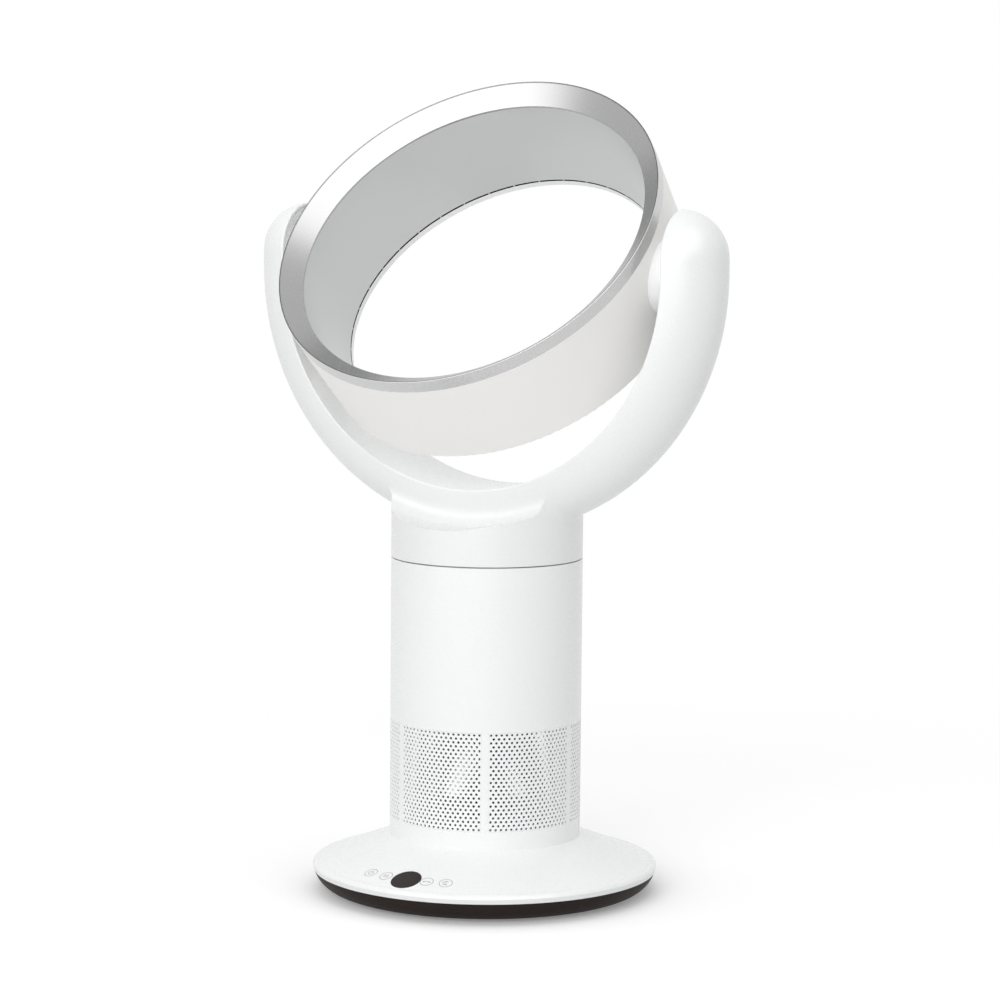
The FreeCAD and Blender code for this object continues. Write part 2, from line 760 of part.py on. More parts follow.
def make_swivel_deck():
    outer = column_inner - fit_gap
    bore = journal_outer + running_gap
    body = turned(
        (bore, bearing_bottom), (bore + bearing_wall, bearing_bottom),
        (bore + bearing_wall, deck_top - deck_thickness), (outer, deck_top - deck_thickness),
        (outer, deck_top), (bore, deck_top))
    x, y = polar(deck_screw_circle, 45)
    hole = cylinder(screw_radius + fit_gap, 0, reach, x, y)
    return body.cut(around(hole, deck_screw_count))


def make_deck_screws():
    x, y = polar(deck_screw_circle, 45)
    tip = deck_top - deck_thickness - deck_screw_bite
    stem = cylinder(screw_radius - running_gap, tip, deck_top - deck_screw_sunk, x, y)
    return Part.makeCompound(around(stem, deck_screw_count))


def make_slide_ring():
    return tube(slide_ring_outer, slide_ring_inner, deck_top, deck_top + slide_ring_thickness)


def make_head_plate():
    low = head_plate_bottom
    high = low + head_plate_thickness
    body = turned(
        (air_passage, journal_bottom), (journal_outer, journal_bottom), (journal_outer, low),
        (column_inner - 0.5, low), (column_inner - 0.5, high), (air_passage, high))
    groove = tube(journal_outer + 1, journal_outer - clip_depth, gear_bottom - clip_thickness - fit_gap,
                  gear_bottom)
    x, y = polar(deck_screw_circle, 0)
    hole = cylinder(screw_radius + fit_gap, low - 1, high + 1, x, y)
    recess = cylinder(screw_head_radius + fit_gap, low - 1, low + screw_head_height, x, y)
    return body.cut([groove] + around(hole.fuse(recess), deck_screw_count))


def make_head_screws():
    x, y = polar(deck_screw_circle, 0)
    seat = head_plate_bottom + screw_head_height
    length = head_plate_thickness - screw_head_height + head_screw_bite
    one = screw(screw_radius - running_gap, length, x, y, seat)
    return Part.makeCompound(around(one, deck_screw_count))


def make_swivel_gear():
    """Sector gear on the journal, with teeth only where the pinion reaches at the ends of the swivel."""
    wheel = gear_wheel(gear_teeth, gear_module, gear_bottom, gear_top, gear_tooth_share)
    wheel = spun(wheel, 90)
    root = gear_pitch - 1.25 * gear_module
    sector = window(1, gear_pitch + 10, gear_bottom, gear_top, 2 * (swivel_range + 14))
    toothed = wheel.common(spun(sector, 180))
    body = toothed.fuse(cylinder(root - 0.4, gear_bottom, gear_top)).removeSplitter()
    return body.cut(cylinder(journal_outer + running_gap, 0, reach))


def make_swivel_clip():
    outer = journal_outer - clip_depth + clip_width
    ring = tube(outer, journal_outer - clip_depth, gear_bottom - clip_thickness, gear_bottom)
    gap = Part.makeBox(12, reach, 10, Vector(-6, -reach, gear_bottom - 5))
    return ring.cut(gap)


def make_swivel_pinion():
    pinion = gear_wheel(pinion_teeth, gear_module, gear_bottom, gear_top, gear_tooth_share)
    pinion = spun(pinion, 90 + 180.0 / pinion_teeth * (1 + pinion_teeth % 2))
    stem = cylinder(swivel_shaft_radius, gear_bottom - swivel_shaft_reach, gear_top + 2)
    wheel = merged(pinion, [stem])
    wheel.translate(Vector(0, pinion_distance, 0))
    return wheel


def swivel_motor_top():
    return gear_bottom - swivel_motor_drop


def make_swivel_motor():
    top = swivel_motor_top()
    body = cylinder(swivel_motor_radius, top - swivel_motor_height, top, 0, pinion_distance)
    bore = cylinder(swivel_shaft_radius + running_gap, top - swivel_shaft_reach, top + 1, 0,
                    pinion_distance)
    return body.cut(bore)


def make_swivel_bracket():
    low = swivel_motor_top()
    high = deck_top - deck_thickness
    x = bracket_post_offset
    half_width = x + bracket_post_radius
    half_depth = bracket_post_radius + bracket_margin
    plate = Part.makeBox(2 * half_width, 2 * half_depth, bracket_thickness,
                         Vector(-half_width, pinion_distance - half_depth, low))
    plate = plate.cut(cylinder(swivel_shaft_radius * 2, low - 1, low + 3, 0, pinion_distance))
    posts = [cylinder(bracket_post_radius, low, high, side * x, pinion_distance) for side in (-1, 1)]
    return merged(plate, posts)


# ---- yoke ----

def chord_half(radius, distance):
    """Half the width of a circle at a distance from its centre."""
    return math.sqrt(radius ** 2 - distance ** 2)


def above_arms(solid):
    """The part of a solid outside the yoke's inner face and above the straight arms."""
    corner = Vector(yoke_inner_radius, -reach / 2, pivot_height + arm_straight)
    return solid.common(Part.makeBox(reach, reach, reach, corner))


def u_form(section, end):
    """Sweeps a section round the lower half circle and up both arms, and adds the arms' ends."""
    bend = section.revolve(Vector(0, 0, pivot_height), axis_y, 180)
    arm = section.extrude(Vector(0, 0, arm_straight)).fuse(end)
    return merged(bend, [arm, mirrored(arm)])


def yoke_hollow(inset):
    """The yoke's form pulled in by inset, with a D-shaped section all the way and domes on the arms."""
    radius = yoke_rounding - inset
    side = chord_half(radius, yoke_inner_radius - yoke_centre)
    lower = Vector(yoke_inner_radius, -side, pivot_height)
    upper = Vector(yoke_inner_radius, side, pivot_height)
    arc = Part.Arc(lower, Vector(yoke_centre + radius, 0, pivot_height), upper).toShape()
    section = Part.Face(Part.Wire([arc, Part.makeLine(upper, lower)]))
    return u_form(section, above_arms(ball(radius)))


def ball(radius):
    """A sphere at the top of the right arm, with its seam turned away from the part that is used."""
    sphere = spun(Part.makeSphere(radius), 180)
    sphere.translate(Vector(yoke_centre, 0, pivot_height + arm_straight))
    return sphere


def yoke_outside():
    """The yoke as a solid, with rounded edges along its inner face."""
    middle = Vector(yoke_inner_radius + yoke_edge, 0, 0)
    middle.y = chord_half(yoke_rounding - yoke_edge, middle.x - yoke_centre)
    outward = (middle - Vector(yoke_centre, 0, 0)).normalize()
    on_face = middle - axis_x * yoke_edge
    between = middle + (outward - axis_x).normalize() * yoke_edge
    on_arc = middle + outward * yoke_edge

    def at(point, side):
        return Vector(point.x, point.y * side, pivot_height)

    tip = Vector(yoke_centre + yoke_rounding, 0, pivot_height)
    section = Part.Face(Part.Wire([
        Part.Arc(at(on_arc, -1), tip, at(on_arc, 1)).toShape(),
        Part.Arc(at(on_arc, 1), at(between, 1), at(on_face, 1)).toShape(),
        Part.makeLine(at(on_face, 1), at(on_face, -1)),
        Part.Arc(at(on_face, -1), at(between, -1), at(on_arc, -1)).toShape()]))
    rim = turned((0, on_face.x), (on_face.y, on_face.x),
                 ((between.y, between.x), (on_arc.y, on_arc.x)), (0, on_arc.x))
    rim.rotate(Vector(0, 0, 0), axis_y, 90)
    rim.translate(Vector(0, 0, pivot_height + arm_straight))
    beyond = Part.makeBox(reach, reach, reach, Vector(on_arc.x, -reach / 2, pivot_height + arm_straight))
    dome = merged(ball(yoke_rounding).common(beyond), [above_arms(rim)])
    return u_form(section, dome)


def pivot_drum(radius):
    return Part.makeCylinder(radius, reach, Vector(0, -reach / 2, pivot_height), axis_y)


def make_yoke_shell():
    collar = turned(
        (0, collar_bottom), (column_radius - edge_break, collar_bottom),
        (column_radius, collar_bottom + edge_break), (column_radius, pivot_height), (0, pivot_height))
    collar = collar.cut(pivot_drum(ledge_radius))
    body = merged(yoke_outside(), [collar])
    ledge_depth = chord_half(yoke_rounding, ledge_radius - yoke_centre)
    joints = [edge for edge in body.Edges
              if edge.Length > 1 and edge.BoundBox.ZMin > collar_bottom + 1
              and edge.BoundBox.ZMax < pivot_height - yoke_inner_radius
              and max(abs(edge.BoundBox.YMin), abs(edge.BoundBox.YMax)) < ledge_depth + 0.5
              and edge.BoundBox.DiagonalLength < 3 * column_radius]
    body = body.makeFillet(ledge_fillet, joints)
    hollow = yoke_hollow(yoke_wall)
    collar_hollow = cylinder(column_inner, collar_bottom - 1, pivot_height).cut(
        pivot_drum(ledge_radius + column_wall))
    neck = cylinder(neck_radius, collar_bottom, pivot_height - yoke_inner_radius - cover_strip)
    body = body.cut([hollow, collar_hollow, neck])
    lug_low = head_plate_bottom + head_plate_thickness
    x, y = polar(deck_screw_circle, 0)
    lug = cylinder(deck_lug_radius, lug_low, lug_low + deck_lug_height, x, y)
    bridge = Part.makeBox(2 * deck_lug_radius, column_inner - deck_screw_circle + 1, deck_lug_height,
                          Vector(-deck_lug_radius, -column_inner - 1, lug_low))
    lug = lug.fuse(bridge).common(cylinder(column_radius - 1, 0, reach))
    body = merged(body, around(lug, deck_screw_count))
    hole = cylinder(screw_radius, lug_low - 1, lug_low + deck_lug_height - lug_floor, x, y)
    return body.cut(around(hole, deck_screw_count))


def make_yoke_cover():
    """Curved strip that closes the inner side of the hollow yoke, with a round pad at each pivot."""
    inner = yoke_inner_radius
    depth = chord_half(yoke_rounding - yoke_wall, inner + cover_strip - yoke_centre) - fit_gap
    corners = [Vector(inner, -depth, pivot_height), Vector(inner + cover_strip, -depth, pivot_height),
               Vector(inner + cover_strip, depth, pivot_height), Vector(inner, depth, pivot_height)]
    end = above_arms(bar_x(depth, inner, inner + cover_strip, 0, pivot_height + arm_straight))
    strip = u_form(Part.Face(Part.makePolygon(corners + corners[:1])), end)
    land = inner - pivot_pad_rise
    pad = bar_x(pivot_pad_radius, land, inner + cover_strip, 0, pivot_height)
    bore = journal_radius + running_gap + bush_wall + fit_gap
    stub = bar_x(bore + cover_strip, inner, land + bush_length - bush_flange, 0, pivot_height)
    trim = bar_x(pivot_pad_radius, land / 2, land, 0, pivot_height)
    hole = bar_x(bore, land / 2, reach, 0, pivot_height)
    body = merged(strip, [pad, stub, mirrored(pad), mirrored(stub)])
    return body.cut([trim, hole, mirrored(trim), mirrored(hole)])


def make_pivot_bush():
    land = yoke_inner_radius - pivot_pad_rise
    bore = journal_radius + running_gap
    flange = tube_x(pivot_pad_radius - bush_inset, bore, land - bush_flange, land, pivot_height)
    start = land - bush_flange
    sleeve = tube_x(bore + bush_wall, bore, start, start + bush_length, pivot_height)
    return merged(flange, [sleeve])


# ---- air ring, made round the Z axis with its front towards +Z ----

def in_ring(shape):
    """Tilts a piece of the air ring and lifts it to the pivot line."""
    copy = shape.copy()
    copy.rotate(Vector(0, 0, 0), axis_x, 90 - tilt_at_rest)
    copy.translate(Vector(0, 0, pivot_height))
    return copy


def barrel_radius(position):
    band_rear = ring_front - band_width
    share = (band_rear - position) / (band_rear + ring_back)
    return ring_radius + (ring_rear_radius - ring_radius) * max(share, 0)


def make_front_rim():
    band_rear = ring_front - band_width
    bevel_rear = ring_front - bevel_depth
    run = math.hypot(ring_radius - bevel_radius, bevel_depth)
    across = ring_wall * bevel_depth / run
    along = ring_wall * (ring_radius - bevel_radius) / run
    inner = ring_radius - ring_wall
    lean = bevel_depth / (ring_radius - bevel_radius)
    corner = bevel_rear - along + (inner - bevel_radius - across) * lean
    fold = (ring_radius - rim_fold * 0.35, ring_front - rim_fold * 0.35)
    return turned(
        (ring_radius, band_rear), (ring_radius, ring_front - rim_fold),
        (fold, (ring_radius - rim_fold * 1.2, ring_front - rim_fold)),
        (bevel_radius, bevel_rear), (bevel_radius, bevel_rear - along),
        (bevel_radius + across, bevel_rear - along), (inner, corner), (inner, band_rear))


def make_ring_shell():
    band_rear = ring_front - band_width
    tongue = ring_radius - ring_wall - fit_gap / 2
    tongue_inner = tongue - ring_wall * 0.9
    corner_start = shell_corner - ring_back
    corner_via = (ring_rear_radius - shell_corner * 0.3, shell_corner * 0.3 - ring_back)
    body = turned(
        (ring_radius, band_rear), (barrel_radius(corner_start), corner_start),
        (corner_via, (ring_rear_radius - shell_corner, -ring_back)),
        (ring_rear_radius - rear_flange, -ring_back),
        (ring_rear_radius - rear_flange, ring_wall - ring_back),
        (ring_rear_radius - ring_wall, ring_wall - ring_back),
        (ring_radius - ring_wall, band_rear - tongue_length * 1.5),
        (tongue_inner, band_rear - tongue_length / 2), (tongue_inner, band_rear + tongue_length),
        (tongue, band_rear + tongue_length), (tongue, band_rear))
    hole = bar_x(journal_radius + fit_gap, 0, reach)
    return body.cut([hole, mirrored(hole)])


def nozzle_outline(offset):
    front = ring_front - bevel_depth - ring_wall * 0.77
    middle = ((bevel_radius + slit_radius) / 2 - nozzle_bulge + offset, (front - slit_position) / 2)
    return (bevel_radius + offset, front), middle, (slit_radius + offset, -slit_position)


def make_nozzle_wall():
    front, middle, rear = nozzle_outline(0)
    front_out, middle_out, rear_out = nozzle_outline(ring_wall)
    tip = ring_wall / 2
    return turned(
        front, (middle, rear),
        ((rear[0] + tip, rear[1] - tip * 0.5), rear_out), (middle_out, front_out))


def make_rear_lip():
    front_edge = -slit_position - slit_width
    flange = ring_rear_radius - rear_flange - fit_gap
    wall = ring_wall
    hook_inner = flange - lip_hook
    hook_outer = flange + lip_hook
    corner_via = (slit_radius + lip_corner * 0.3, lip_corner * 0.3 - ring_back)
    return turned(
        (flange, -ring_back), (slit_radius + lip_corner, -ring_back),
        (corner_via, (slit_radius, lip_corner - ring_back)),
        (slit_radius, front_edge), (slit_radius + wall * 0.8, front_edge),
        ((slit_radius + wall, front_edge - 1.0), (slit_radius + wall * 2, wall - ring_back)),
        (hook_inner, wall - ring_back), (hook_inner, wall * 2 - ring_back),
        (hook_outer, wall * 2 - ring_back), (hook_outer, wall - ring_back), (flange, wall - ring_back))


def make_slit_spacers():
    corner = Vector(slit_radius + fit_gap, -spacer_width / 2, -slit_position - slit_width)
    one = Part.makeBox(ring_wall * 0.7, spacer_width, slit_width, corner).cut(make_nozzle_wall())
    return Part.makeCompound(around(one, spacer_count, 180.0 / spacer_count))


def ring_envelope(inset):
    band_rear = ring_front - band_width
    return turned(
        (0, -ring_back), (barrel_radius(-ring_back) - inset, -ring_back),
        (barrel_radius(band_rear) - inset, band_rear), (0, band_rear))


def make_pivot_boss():
    body = bar_x(pivot_pad_radius, 0, boss_end).cut(ring_envelope(0))
    rims = [edge for edge in body.Edges
            if abs(edge.BoundBox.XMin - boss_end) < 0.01 and abs(edge.BoundBox.XMax - boss_end) < 0.01]
    body = body.makeFillet(boss_rounding, rims)
    return body.cut(bar_x(journal_radius + fit_gap, 0, reach))


def make_trunnion():
    """Hollow journal with a flange inside the ring and a groove for its retaining clip in the arm."""
    clip_start = washer_start + washer_thickness + slide_gap
    end = clip_start + retainer_thickness + journal_end
    sink = nozzle_outline(ring_wall)[1][0] + inlet_gap
    flange = bar_x(journal_radius + journal_flange, sink, ring_radius)
    flange = flange.common(ring_envelope(ring_wall + fit_gap))
    body = merged(bar_x(journal_radius, sink, end), [flange])
    groove = tube_x(journal_radius + 1, journal_radius - retainer_depth, clip_start,
                    clip_start + retainer_thickness)
    return body.cut([bar_x(journal_bore, 0, reach), groove])


def make_friction_washer():
    return tube_x(journal_radius + washer_width, journal_radius + fit_gap, washer_start,
                  washer_start + washer_thickness)


def make_pivot_retainer():
    start = washer_start + washer_thickness + slide_gap
    ring = tube_x(journal_radius + washer_width, journal_radius - retainer_depth + fit_gap / 2, start,
                  start + retainer_thickness)
    gap = Part.makeBox(retainer_thickness + 2, 8, reach, Vector(start - 1, -4, 0))
    return ring.cut(gap)


# ---- the parts and their files ----

parts = {
    "base_cover": make_base_cover(),
    "base_tray": make_base_tray(),
    "rubber_feet": make_rubber_feet(),
    "base_screws": make_base_screws(),
    "ballast_plate": make_ballast_plate(),
    "display_window": make_display_window(),
    "control_board": make_control_board(),
    "touch_pads": make_touch_pads(),
    "power_board": make_power_board(),
    "power_parts": make_power_parts(),
    "cord_grommet": make_cord_grommet(),
    "intake_sleeve": make_intake_sleeve(),
    "intake_grilles": make_intake_grilles(),
    "sleeve_screws": make_sleeve_screws(),
    "column_tube": make_column_tube(),
    "fan_duct": make_fan_duct(),
    "duct_isolator": make_duct_isolator(),
    "motor_bucket": make_motor_bucket(),
    "bucket_cap": make_bucket_cap(),
    "fan_motor": make_motor(),
    "motor_shaft": make_motor_shaft(),
    "impeller": make_impeller(),
    "swivel_deck": make_swivel_deck(),
    "deck_screws": make_deck_screws(),
    "slide_ring": make_slide_ring(),
    "swivel_motor": make_swivel_motor(),
    "swivel_bracket": make_swivel_bracket(),
    "swivel_pinion": make_swivel_pinion(),
    "head_plate": make_head_plate(),
    "head_screws": make_head_screws(),
    "swivel_gear": make_swivel_gear(),
    "swivel_clip": make_swivel_clip(),
    "yoke_shell": make_yoke_shell(),
    "yoke_cover": make_yoke_cover(),
    "front_rim": in_ring(make_front_rim()),
    "ring_shell": in_ring(make_ring_shell()),
    "nozzle_wall": in_ring(make_nozzle_wall()),
    "rear_lip": in_ring(make_rear_lip()),
    "slit_spacers": in_ring(make_slit_spacers()),
}

for side, placed in (("right", lambda shape: shape), ("left", mirrored)):
    parts["pivot_bush_" + side] = placed(make_pivot_bush())
    parts["pivot_boss_" + side] = in_ring(placed(make_pivot_boss()))
    parts["trunnion_" + side] = in_ring(placed(make_trunnion()))
    parts["friction_washer_" + side] = in_ring(placed(make_friction_washer()))
    parts["pivot_retainer_" + side] = in_ring(placed(make_pivot_retainer()))

os.makedirs("parts", exist_ok=True)
for name, shape in parts.items():
    shape.exportStep("parts/" + name + ".step")
    print(name, len(shape.Solids), "solids", round(shape.Volume / 1000.0, 2), "cm3", shape.isValid())
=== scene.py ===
import math

import bmesh
import bpy
from mathutils import Matrix, Vector


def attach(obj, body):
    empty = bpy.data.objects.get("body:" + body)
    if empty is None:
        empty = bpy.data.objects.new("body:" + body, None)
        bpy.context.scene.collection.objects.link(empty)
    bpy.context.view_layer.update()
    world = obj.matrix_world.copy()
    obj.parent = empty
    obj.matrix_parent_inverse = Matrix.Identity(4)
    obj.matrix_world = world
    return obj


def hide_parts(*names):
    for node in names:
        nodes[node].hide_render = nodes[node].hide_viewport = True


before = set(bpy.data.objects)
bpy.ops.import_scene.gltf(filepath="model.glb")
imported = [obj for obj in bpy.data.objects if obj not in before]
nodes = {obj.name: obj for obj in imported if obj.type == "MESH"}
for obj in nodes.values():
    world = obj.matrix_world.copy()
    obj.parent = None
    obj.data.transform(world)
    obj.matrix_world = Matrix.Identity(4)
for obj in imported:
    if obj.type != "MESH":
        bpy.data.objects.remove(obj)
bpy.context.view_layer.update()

# Bladeless fan: a column with a perforated foot, a U-shaped yoke that swivels on it, and a tilting air ring.
# Sizes are in millimetres in the dictionaries and in metres once they are in Blender. Only the studio's
# floor, lamps and camera are written in metres.


def mm(value):
    return value / 1000


def linear(hexColour):
    # sRGB hex to the linear colour that a shader takes
    parts = [int(hexColour[i:i + 2], 16) / 255 for i in (1, 3, 5)]
    return [p / 12.92 if p <= 0.04045 else ((p + 0.055) / 1.055) ** 2.4 for p in parts] + [1.0]


def addNode(tree, kind, settings=None, **links):
    # One node with its settings and inputs. An input is a value, a socket, or a node whose first output is
    # taken. It is told by its name, or by its number after an i where a name stands twice.
    node = tree.nodes.new(kind)
    for name, value in (settings or {}).items():
        setattr(node, name, value)
    for name, value in links.items():
        key = int(name[1:]) if name[0] == "i" and name[1:].isdigit() else name.replace("_", " ")
        if isinstance(value, bpy.types.Node):
            value = value.outputs[0]
        if isinstance(value, bpy.types.NodeSocket):
            tree.links.new(value, node.inputs[key])
        else:
            node.inputs[key].default_value = value
    return node


def addObject(name, data):
    piece = bpy.data.objects.new(name, data)
    bpy.context.scene.collection.objects.link(piece)
    return piece


def startMaterial(name):
    material = bpy.data.materials.new(name)
    material.use_nodes = True
    tree = material.node_tree
    tree.nodes.clear()
    return material, tree


# Axes that a side can face away from, at rest: the ring's is turned about the line through its pivots.
axes = {"column": {"lean": 0.0, "height": 0.0}, "ring": {"lean": 46.5, "height": 468.0}}
shadingLimit = 0.5  # how far a side has to face the painted shading's direction to get it, from 0 to 1
shadingEdge = 0.02  # half the soft border between the plain colour and the painted shading


def paintShadingOnSides(tree, place, shade, shadingPaint):
    # painted shade and highlight: a second colour on some sides only, told by how far a side faces outward
    # from an axis and along it
    axis = axes[shadingPaint["axis"]]
    lean = math.radians(axis["lean"])
    own = addNode(tree, "ShaderNodeMapping", {"vector_type": "TEXTURE"}, Vector=place,
                  Location=(0, 0, mm(axis["height"])), Rotation=(lean, 0, 0))
    flat = addNode(tree, "ShaderNodeVectorMath", {"operation": "MULTIPLY"}, i0=own, i1=(1, 1, 0))
    outward = addNode(tree, "ShaderNodeVectorMath", {"operation": "NORMALIZE"}, i0=flat)
    facing = addNode(tree, "ShaderNodeTexCoord").outputs["Normal"]
    facing = addNode(tree, "ShaderNodeMapping", {"vector_type": "VECTOR"}, Vector=facing,
                     Rotation=(-lean, 0, 0))
    radial = addNode(tree, "ShaderNodeVectorMath", {"operation": "DOT_PRODUCT"}, i0=facing, i1=outward)
    radial = addNode(tree, "ShaderNodeMath", {"operation": "MULTIPLY"}, i0=radial.outputs["Value"],
                     i1=shadingPaint["outward"])
    axial = addNode(tree, "ShaderNodeSeparateXYZ", i0=facing).outputs["Z"]
    side = addNode(tree, "ShaderNodeMath", {"operation": "MULTIPLY_ADD"}, i0=axial, i1=shadingPaint["forward"],
                   i2=radial)
    limit = shadingPaint.get("limit", shadingLimit)
    shadingMask = addNode(tree, "ShaderNodeMapRange", Value=side, From_Min=limit - shadingEdge,
                      From_Max=limit + shadingEdge)
    return addNode(tree, "ShaderNodeMix", {"data_type": "RGBA"}, i0=shadingMask, i6=shade,
                   i7=linear(shadingPaint["colour"])).outputs[2]


# Grain and flakes are drawn some five times coarser than real ones, which would be too fine to show.
noiseSpan = (0.3, 0.7)  # a noise's values mostly lie in here
bumpHeight = {"grain": 0.02, "sink": 0.4}


def mouldedPlastic(name, look):
    # Injection-moulded plastic: an even colour with the faint cloudiness of the melt, a fine spark-eroded
    # grain from the mould in the gloss, and long soft sink marks that bend the reflections a little.
    material, tree = startMaterial(name)
    place = addNode(tree, "ShaderNodeTexCoord").outputs["Object"]
    cloud = addNode(tree, "ShaderNodeTexNoise", Vector=place, Scale=1 / mm(look["cloud"]), Detail=3.0)
    shade = addNode(tree, "ShaderNodeMix", {"data_type": "RGBA"}, i0=cloud, i6=linear(look["dark"]),
                    i7=linear(look["light"])).outputs[2]
    # painted shade and highlights on the sides that the look names
    for shadingPaint in look.get("sprays", []):
        shade = paintShadingOnSides(tree, place, shade, shadingPaint)
    grain = addNode(tree, "ShaderNodeTexNoise", Vector=place, Scale=1 / mm(look["grain"]), Detail=2.0)
    gloss = addNode(tree, "ShaderNodeMapRange", Value=grain, From_Min=noiseSpan[0], From_Max=noiseSpan[1],
                    To_Min=look["rough"][0], To_Max=look["rough"][1])
    fine = addNode(tree, "ShaderNodeBump", Height=grain, Strength=look["grainDepth"],
                   Distance=mm(bumpHeight["grain"]))
    sink = addNode(tree, "ShaderNodeTexNoise", Vector=place, Scale=1 / mm(look["sink"]), Detail=0.0)
    broad = addNode(tree, "ShaderNodeBump", Height=sink, Strength=look["sinkDepth"],
                    Distance=mm(bumpHeight["sink"]), Normal=fine)
    shader = addNode(tree, "ShaderNodeBsdfPrincipled", Base_Color=shade, Roughness=gloss, IOR=look["ior"],
                     Normal=broad, Specular_IOR_Level=look.get("specular", 0.5))
    if "soft" in look:  # light that goes in and comes out again close by, as in a milky plastic
        shader.inputs["Subsurface Weight"].default_value = look["soft"]
        shader.inputs["Subsurface Radius"].default_value = [mm(reach) for reach in look["softReach"]]
        shader.inputs["Subsurface Scale"].default_value = 1.0
    addNode(tree, "ShaderNodeOutputMaterial", Surface=shader)
    return material


def metal(name, look):
    # Metal, or lacquer with metal flakes: colour and gloss vary with the flakes or the cut of the tool.
    material, tree = startMaterial(name)
    place = addNode(tree, "ShaderNodeTexCoord").outputs["Object"]
    stretched = addNode(tree, "ShaderNodeMapping", Vector=place, Scale=look.get("stretch", (1, 1, 1)))
    flake = addNode(tree, "ShaderNodeTexNoise", Vector=stretched, Scale=1 / mm(look["flake"]), Detail=2.0)
    shade = addNode(tree, "ShaderNodeMix", {"data_type": "RGBA"}, i0=flake, i6=linear(look["dark"]),
                    i7=linear(look["light"])).outputs[2]
    # painted shade and highlights on the sides that the look names
    for shadingPaint in look.get("sprays", []):
        shade = paintShadingOnSides(tree, place, shade, shadingPaint)
    gloss = addNode(tree, "ShaderNodeMapRange", Value=flake, From_Min=noiseSpan[0], From_Max=noiseSpan[1],
                    To_Min=look["rough"][0], To_Max=look["rough"][1])
    fine = addNode(tree, "ShaderNodeBump", Height=flake, Strength=look["flakeDepth"],
                   Distance=mm(bumpHeight["grain"]))
    shader = addNode(tree, "ShaderNodeBsdfPrincipled", Base_Color=shade, Roughness=gloss,
                     Metallic=look["metallic"], Normal=fine)
    addNode(tree, "ShaderNodeOutputMaterial", Surface=shader)
    return material


def circuitBoard(name, look):
    # Glass-epoxy board under a green solder mask, with the tracks showing through as lighter lines. Their
    # width and the rows' shift are shares of the track pitch.
    material, tree = startMaterial(name)
    place = addNode(tree, "ShaderNodeTexCoord").outputs["Object"]
    tracks = addNode(tree, "ShaderNodeTexBrick", {"offset": look["shift"]}, Vector=place,
                     Scale=1 / mm(look["track"]), Color1=linear(look["mask"]), Color2=linear(look["mask"]),
                     Mortar=linear(look["copper"]), Mortar_Size=look["width"])
    shader = addNode(tree, "ShaderNodeBsdfPrincipled", Base_Color=tracks, Roughness=look["rough"],
                     IOR=look["ior"])
    addNode(tree, "ShaderNodeOutputMaterial", Surface=shader)
    return material


# The hollows get painted black shade, so that the ring's slit and the intake's holes read as dark.
hollowShadeBlack = "#151413"
# Bright white with soft wide highlights, as a polished mould leaves it.
polished = {"cloud": 90, "grain": 0.5, "grainDepth": 0.02, "sink": 55, "sinkDepth": 0.04,
            "rough": (0.25, 0.3), "ior": 1.53}
whiteAbs = mouldedPlastic("white ABS, polished mould", polished | {"light": "#f6f7f7", "dark": "#f3f4f4"})
# the yoke's white is a touch greyer, a painted shade that dims its arms
yokeShadedAbs = mouldedPlastic("white ABS, polished mould, yoke's batch", polished | {
    "light": "#f1f2f2", "dark": "#eeefef"})
# white outside, with painted black shade on the sides that face the column's axis, behind the holes
intakeAbs = mouldedPlastic("white ABS, polished mould, black inside", polished | {
    "light": "#f6f7f7", "dark": "#f3f4f4",
    "sprays": [{"axis": "column", "colour": hollowShadeBlack, "outward": -1.0, "forward": 0.0}]})
# a clean white edge below the slit, and painted black shade where it looks into the slit
lipAbs = mouldedPlastic("white ABS lip, polished mould, black inside", polished | {
    "light": "#f7f7f6", "dark": "#f5f5f4",
    "sprays": [{"axis": "ring", "colour": hollowShadeBlack, "outward": 1.0, "forward": 1.0}]})
# a warmer, flatter white than the rest, with hardly a highlight, and painted black shade on its inner side
barrelAbs = mouldedPlastic("warm white ABS, satin mould, black inside", {
    "light": "#f9f8f6", "dark": "#f7f6f4", "cloud": 120, "grain": 0.5, "grainDepth": 0.02, "sink": 70,
    "sinkDepth": 0.03, "rough": (0.32, 0.4), "ior": 1.53,
    "sprays": [{"axis": "ring", "colour": hollowShadeBlack, "outward": -1.0, "forward": 1.0}]})
# almost black with a brown cast, and dull, so that the tray reads as a shadow line
darkAbs = mouldedPlastic("brown-black ABS, fine mould grain", {
    "light": "#2d2624", "dark": "#29221f", "cloud": 60, "grain": 0.7, "grainDepth": 0.3, "sink": 60,
    "sinkDepth": 0.03, "rough": (0.46, 0.56), "ior": 1.45, "specular": 0.1})
# a smooth dark disc with a clear, weak reflection, and nothing to see behind it
smokedAcrylic = mouldedPlastic("smoked acrylic, polished", {
    "light": "#2f2826", "dark": "#2c2523", "cloud": 30, "grain": 0.4, "grainDepth": 0.0, "sink": 20,
    "sinkDepth": 0.0, "rough": (0.12, 0.16), "ior": 1.45, "specular": 0.1})
# plain inner parts, mid grey and dull
greyAbs = mouldedPlastic("grey ABS, plain mould", {
    "light": "#8b8d8f", "dark": "#838587", "cloud": 50, "grain": 0.8, "grainDepth": 0.3, "sink": 40,
    "sinkDepth": 0.05, "rough": (0.4, 0.55), "ior": 1.53})
# thin ticks across the slit that only just break its dark line
spacerAbs = mouldedPlastic("light grey ABS, plain mould", {
    "light": "#c6c6c5", "dark": "#c0c0bf", "cloud": 50, "grain": 0.5, "grainDepth": 0.1, "sink": 40,
    "sinkDepth": 0.03, "rough": (0.4, 0.5), "ior": 1.53})
# black with the grey bloom of glass fibre
blackNylon = mouldedPlastic("black glass-filled nylon, moulded", {
    "light": "#26272a", "dark": "#1e1f21", "cloud": 20, "grain": 0.6, "grainDepth": 0.5, "sink": 25,
    "sinkDepth": 0.05, "rough": (0.42, 0.58), "ior": 1.53})
